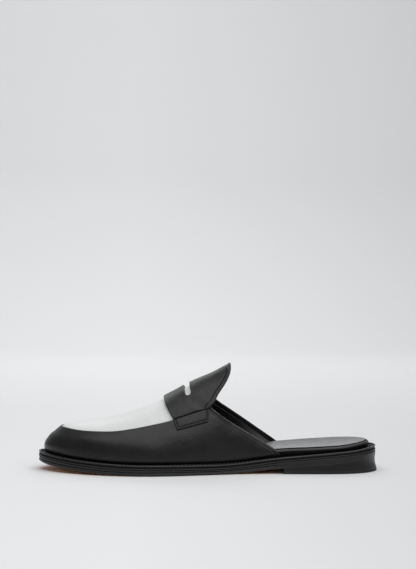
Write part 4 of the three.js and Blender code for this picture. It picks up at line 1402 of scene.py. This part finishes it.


# The outsole's edge: a rounded foot, a fine bead that catches the light, and a face set a little back over
# it, with painted shade on the top band at the joint. Its slots say which of its materials each band between
# two rings has
CORNER = 0.3 * EDGE_ROUND
outsole_rings = [
    (20.0, 0.0),
    (13.0, 0.0),
    (CHANNEL_INSET + 0.8, 0.0),
    (CHANNEL_INSET + 0.35, 0.28),
    (CHANNEL_INSET, 0.3),
    (CHANNEL_INSET - 0.35, 0.0),
    (2.6, 0.0),
    (toe_tuck(0.48), ground(0.01)),
    (toe_tuck(0.3), ground(0.07)),
    (toe_tuck(0.14), ground(0.3)),
    (toe_tuck(0.05), ground(0.72)),
    (0.0, ground(1.2)),
    (ground(0.03), ground(1.45)),
    (ground(EDGE_FACE), ground(1.78)),
    (ground(EDGE_FACE), raised(0.1, 1.78)),
    (ground(EDGE_FACE), lambda x: below_top(EDGE_ROUND)(x) - 0.1),
    (ground(EDGE_FACE), below_top(EDGE_ROUND)),
    (ground(EDGE_FACE + CORNER), below_top(CORNER)),
    (ground(EDGE_FACE + EDGE_ROUND), outsole_top),
    (4.0, outsole_top),
]
outsole_slots = [1] * 7 + [3] * 2 + [0] * 8 + [2] * 3
outsole_materials = [edge_black, tan_leather, painted_shade_black, foot_brown]
sole_layer("outsole_leather", outsole_rings, outsole_materials, outsole_slots, "outsole")

# Painted shade: the near-black material on the sole's joints and grooves, where the layers' edges shade one
# another
edge_materials = [edge_black, painted_shade_black]
midsole_top = MIDSOLE_LOW + MIDSOLE_THICKNESS
midsole_rings = [
    (4.0, MIDSOLE_LOW),
    (ground(EDGE_FACE + EDGE_ROUND), MIDSOLE_LOW),
    (ground(EDGE_FACE + CORNER), raised(MIDSOLE_LOW, CORNER)),
    (ground(EDGE_FACE), raised(MIDSOLE_LOW, EDGE_ROUND)),
    (ground(EDGE_FACE), raised(MIDSOLE_LOW + 0.1, EDGE_ROUND)),
    (ground(EDGE_FACE * 0.6), dropped(midsole_top - JOINT_ROUND - 0.1)),
    (ground(EDGE_FACE * 0.6), dropped(midsole_top - JOINT_ROUND)),
    (JOINT_ROUND * 0.5, dropped(midsole_top - JOINT_ROUND * 0.35)),
    (JOINT_ROUND * 1.4, dropped(midsole_top)),
    (4.0, dropped(midsole_top)),
]
midsole_slots = [1] * 2 + [0] * 5 + [1] * 3
sole_layer("midsole_leather", midsole_rings, edge_materials, midsole_slots, "midsole")


def bead_level(level):
    """A height of the bead, which sinks at the waist and climbs round the back of the heel."""
    return lambda x: level - waist_dip(x) + REAR_LIFT * (1 - smooth_step(x, 2, 26))


# The welt: a flat strip, and on it a round bead that stands back a little behind a groove, with painted
# shade in the joint under it, in the groove and in the trough behind the bead
welt_rings = [
    (WELT_BAND, WELT_LOW),
    (JOINT_ROUND * 1.4, dropped(WELT_LOW)),
    (JOINT_ROUND * 0.5, dropped(WELT_LOW + JOINT_ROUND * 0.35)),
    (0.0, dropped(WELT_LOW + JOINT_ROUND)),
    (0.0, dropped(STRIP_TOP - 0.2)),
    (0.1, dropped(STRIP_TOP - 0.03)),
    (0.4, dropped(STRIP_TOP + 0.08)),
    (GROOVE_DEPTH, bead_level(STRIP_TOP + 0.35)),
    (GROOVE_DEPTH, bead_level(BEAD_LOW - 0.03)),
]
for angle in np.linspace(-0.42 * np.pi, 0.5 * np.pi, 12):
    bead_out = BEAD_EDGE + BEAD_HALF * (1 - math.cos(angle))
    welt_rings.append((bead_out, bead_level(BEAD_LOW + BEAD_HALF * (1 + math.sin(angle)))))
for angle in np.linspace(0, 0.5 * np.pi, 7)[1:]:
    fall = (WELT_RIDGE + WELT_TROUGH) * (1 - math.cos(angle))
    welt_rings.append((BEAD_EDGE + BEAD_HALF + math.sin(angle), bead_level(SOLE_STACK - fall)))
welt_rings += [
    (WELT_MARGIN - 0.6, WELT_SHELF - WELT_TROUGH),
    (WELT_MARGIN, WELT_SHELF),
    (WELT_BAND, WELT_SHELF),
]
welt_slots = [1] * 2 + [0] * 4 + [1] * 4 + [0] * 13 + [1] * 7
sole_layer("welt_leather", welt_rings, edge_materials, welt_slots, "welt", closed=True)

around = sole_ring(WELT_STITCH_INSET, WELT_SHELF - WELT_TROUGH + 0.1)
around = np.concatenate([around, around[:1]])
upright = np.tile([0.0, 0.0, 1.0], (len(around), 1))
stitch_row("welt_stitches", around, upright, WELT_STITCH, "sole_edge")


# The footbed, full at the heel and thin under the toes, and the sock that lies on it

footbed_places = [SOLE_LENGTH * at for at, _ in FOOTBED_ROWS]
footbed_curve = spline_of(footbed_places, [FOOTBED_THICKNESS * share for _, share in FOOTBED_ROWS])


def footbed_height(fall):
    """A height below the footbed's top, or over it where it is negative."""
    return lambda x: FEATHER_LOW + footbed_curve(x) - fall


COLLAR_BACK = 0.27 * SOLE_LENGTH


def footbed_ring(more):
    """An inset further in than the footbed's edge, which swells outwards where no upper holds it."""
    inset = FOOTBED_INSET + more
    return lambda x: inset - BARE_HEEL_REACH * (1 - smooth_step(x, COLLAR_BACK - 22, COLLAR_BACK))


footbed_rings = [
    (WELT_BAND + JOINT, WELT_LOW),
    (WELT_BAND + JOINT, FEATHER_LOW),
    (footbed_ring(0.9), WELT_SHELF + 0.05),
    (footbed_ring(0.5), WELT_SHELF + 0.5),
]
for angle in np.linspace(0, np.pi / 2, 9):
    reach = footbed_ring(FOOTBED_ROUND * (1 - math.cos(angle)))
    fall = FOOTBED_ROUND * (1 - math.sin(angle)) - 0.35 * math.sin(angle)
    footbed_rings.append((reach, footbed_height(fall)))
footbed_rings += [
    (footbed_ring(SOCK_INSET - 0.15), footbed_height(0.05)),
    (footbed_ring(SOCK_INSET), footbed_height(0.3)),
    (footbed_ring(SOCK_INSET + 6), footbed_height(0.3)),
]
# Painted shade: the footbed's lower wall, down in the trough, takes the near-black material, as does its top
# under the sock
footbed_slots = [0] * 2 + [1] * 2 + [0] * 8 + [1] * 4
wrap = [footbed_leather, painted_shade_black]
sole_layer("footbed_leather", footbed_rings, wrap, footbed_slots, "footbed", camber=True)

SOCK_TOP = SOCK_THICKNESS + JOINT
# How far in from the sock's edge, and how far below the sock's top
SOCK_PROFILE = [
    (6, SOCK_TOP - 0.02), (0.4, SOCK_TOP - 0.02), (0.15, SOCK_TOP - 0.15), (0.1, 0.48), (0.25, 0.36),
    (0.9, 0.24), (2.2, 0.08), (4.5, 0), (9, 0), (14, 0),
]
sock_rings = []
for more, fall in SOCK_PROFILE:
    sock_rings.append((footbed_ring(SOCK_INSET + more), footbed_height(fall - SOCK_TOP)))
# The sock's cut edge takes the near-black material: partly the edge's own black, partly painted shade
sock_slots = [1] * 4 + [0] * 6
lined = [sock_leather, painted_shade_black]
sole_layer("sock_leather", sock_rings, lined, sock_slots, "sock", camber=True)


# The heel: a block under the seat and a rubber top lift, with a hollowed breast

HEEL_SIDE_STEPS = 90
BREAST_STEPS = 24
heel_sweep = float(solve(lambda sweep: outline_point(sweep, 1)[0] - HEEL_LENGTH, 0.0, np.pi))


def heel_loop(grow):
    """The heel's plan loop, moved outwards by a flare: one value, or one for each of its points."""
    sweeps = np.linspace(0, heel_sweep, HEEL_SIDE_STEPS)
    grow = np.broadcast_to(grow, 2 * HEEL_SIDE_STEPS - 1 + BREAST_STEPS - 1)
    grow_inner = np.concatenate([grow[:1], grow[: -HEEL_SIDE_STEPS : -1]])
    outer = np.stack(inset_point(sweeps, np.ones(sweeps.shape), -grow[:HEEL_SIDE_STEPS]), -1)
    inner = np.stack(inset_point(sweeps, -np.ones(sweeps.shape), -grow_inner), -1)
    start, end = outer[-1], inner[-1]
    shares = np.linspace(0, 1, BREAST_STEPS + 1)[1:-1, None]
    breast = start + (end - start) * shares
    breast[:, 0] -= 4 * BREAST_HOLLOW * shares[:, 0] * (1 - shares[:, 0])
    return np.concatenate([outer, breast, inner[:0:-1]])


def heel_slab(name, rings, material, node_name):
    """A slab of the heel through rings of (flare, height), its top and bottom closed by strips."""
    loops = []
    for grow, height in rings:
        plan = heel_loop(grow)
        rise = value_at(plan[:, 0], height) + np.zeros(len(plan))
        share = np.clip(rise / (under_seat(plan[:, 0]) + WELT_LOW), 0, 1)
        flared = heel_loop(grow + wall_flare(plan[:, 0], share))
        loops.append(np.column_stack([flared, rise]))
    vertices = np.concatenate(loops)
    count = len(loops[0])
    faces = band_faces(count, len(loops))
    faces.append(tuple(range(count))[::-1])
    faces.append(tuple(range(len(vertices) - count, len(vertices))))
    add_piece(name, vertices, turned_out(vertices, faces), [material], [node_name])


def under_seat(x):
    """Height of the heel seat, which the block's top follows."""
    return sole_bottom(np.minimum(x, HEEL_LENGTH))


def block_level(share):
    """A height of the block's wall, by its share of the way from the top lift to the seat."""
    low = LIFT_THICKNESS + 0.1
    return lambda x: low + (under_seat(x) - low) * share


block_rings = [(-0.9, LIFT_THICKNESS + 0.03), (-BLOCK_EDGE, LIFT_THICKNESS + 0.03)]
for share in [*np.linspace(0, 0.98, 9), 1.0]:
    block_rings.append((0.0, block_level(share)))
block_rings.append((-0.9, under_seat))
heel_slab("heel_block_leather", block_rings, heel_black, "heel_block")
lift_rings = [
    (-0.9, 0.0),
    (-LIFT_ROUND, 0.0),
    (-0.12 * LIFT_ROUND, 0.3 * LIFT_ROUND),
    (0.0, LIFT_ROUND),
    (0.0, LIFT_THICKNESS - 0.08),
    (-BLOCK_EDGE, LIFT_THICKNESS),
    (-0.9, LIFT_THICKNESS),
]
heel_slab("top_lift_rubber", lift_rings, black_rubber, "top_lift")


# The stage: a pale floor that curves up into the backdrop, soft lights, and the photograph's camera

CAMERA_PLACE = (-0.00055, 1.30954, 0.165)


def math_node(material, operation, first, second):
    """One step of arithmetic on two terms, each a number or a socket."""
    made = node(material, "ShaderNodeMath", operation=operation)
    for term, target in zip((first, second), made.inputs):
        if isinstance(term, float):
            target.default_value = term
        else:
            link(material, term, target)
    return made.outputs[0]


def add_stage():
    """The floor and backdrop in one sheet, with painted shade that darkens it a little towards one side as
    the camera sees it, where the light falls off.
    """
    floor = new_material("stage_floor", (0.7, 0.71, 0.72), 0.85, specular=0.15)
    place = place_node(floor)
    mottle = noise_node(floor, place, 3.0, 2.0, 0.5)
    tone = mix_colors(floor, mottle, (0.735, 0.742, 0.75), (0.75, 0.757, 0.765))
    link(floor, tone, shader_inputs(floor)["Base Color"])
    # Painted shade: the floor's colour darkens towards one side, fanning out from the camera's place, for
    # the light's falloff
    depth = math_node(floor, "SUBTRACT", CAMERA_PLACE[1], axis_node(floor, "Y"))
    far = math_node(floor, "MAXIMUM", depth, 1.0)
    slope = math_node(floor, "DIVIDE", axis_node(floor, "X"), far)
    shade_color(floor, range_node(floor, slope, 0.05, -0.15, 0, 1), (0.64, 0.647, 0.658))
    half_width = 6.0
    front = 4.0
    back = -2.2
    radius = 1.2
    profile = [(front, 0.0), (back, 0.0)]
    for angle in np.linspace(0, np.pi / 2, 25)[1:]:
        profile.append((back - radius * math.sin(angle), radius * (1 - math.cos(angle))))
    profile.append((back - radius, 5.0))
    vertices = [(x, y, z) for y, z in profile for x in (-half_width, half_width)]
    faces = [(2 * i, 2 * i + 1, 2 * i + 3, 2 * i + 2) for i in range(len(profile) - 1)]
    mesh = bpy.data.meshes.new("stage_floor")
    mesh.from_pydata(vertices, [], faces)
    mesh.polygons.foreach_set("use_smooth", np.ones(len(faces), bool))
    mesh.materials.append(floor)
    stage = bpy.data.objects.new("stage_floor", mesh)
    bpy.context.scene.collection.objects.link(stage)


def add_area(name, location, target, size, power, spread=180):
    light = bpy.data.lights.new(name, "AREA")
    light.shape = "RECTANGLE"
    light.size, light.size_y = size
    light.energy = power
    light.spread = math.radians(spread)
    holder = bpy.data.objects.new(name, light)
    holder.location = location
    aim = Vector(target) - Vector(location)
    holder.rotation_euler = aim.to_track_quat("-Z", "Y").to_euler()
    bpy.context.scene.collection.objects.link(holder)


add_stage()
add_area("light_top", (-0.3, 0.4, 2.4), (-0.1, 0, 0), (4.0, 2.9), 62)
add_area("light_front", (-0.8, 2.1, 1.9), (0, 0, 0.03), (2.1, 1.3), 13.5)
add_area("light_rim", (-0.1, -2.3, 1.7), (0, 0, 0.03), (2.4, 0.6), 13)
add_area("light_backdrop", (0.3, -1.0, 3.0), (0, -3.4, 0.9), (4.0, 1.0), 23, spread=120)

world = bpy.data.worlds.new("studio")
world.use_nodes = True
world.node_tree.nodes["Background"].inputs["Color"].default_value = (0.98, 0.99, 1, 1)
world.node_tree.nodes["Background"].inputs["Strength"].default_value = 0.26
bpy.context.scene.world = world
bpy.context.scene.view_settings.view_transform = "Standard"

IMAGE_HEIGHT = 569
FOCAL_PIXELS = 1463.7
SENSOR = 36.0
lens = bpy.data.cameras.new("camera")
lens.sensor_fit = "VERTICAL"
lens.sensor_height = SENSOR
lens.lens = FOCAL_PIXELS * SENSOR / IMAGE_HEIGHT
lens.clip_end = 100
camera = bpy.data.objects.new("camera", lens)
camera.location = CAMERA_PLACE
camera.rotation_euler = (math.pi / 2, 0, math.pi)
bpy.context.scene.collection.objects.link(camera)
bpy.context.scene.camera = camera
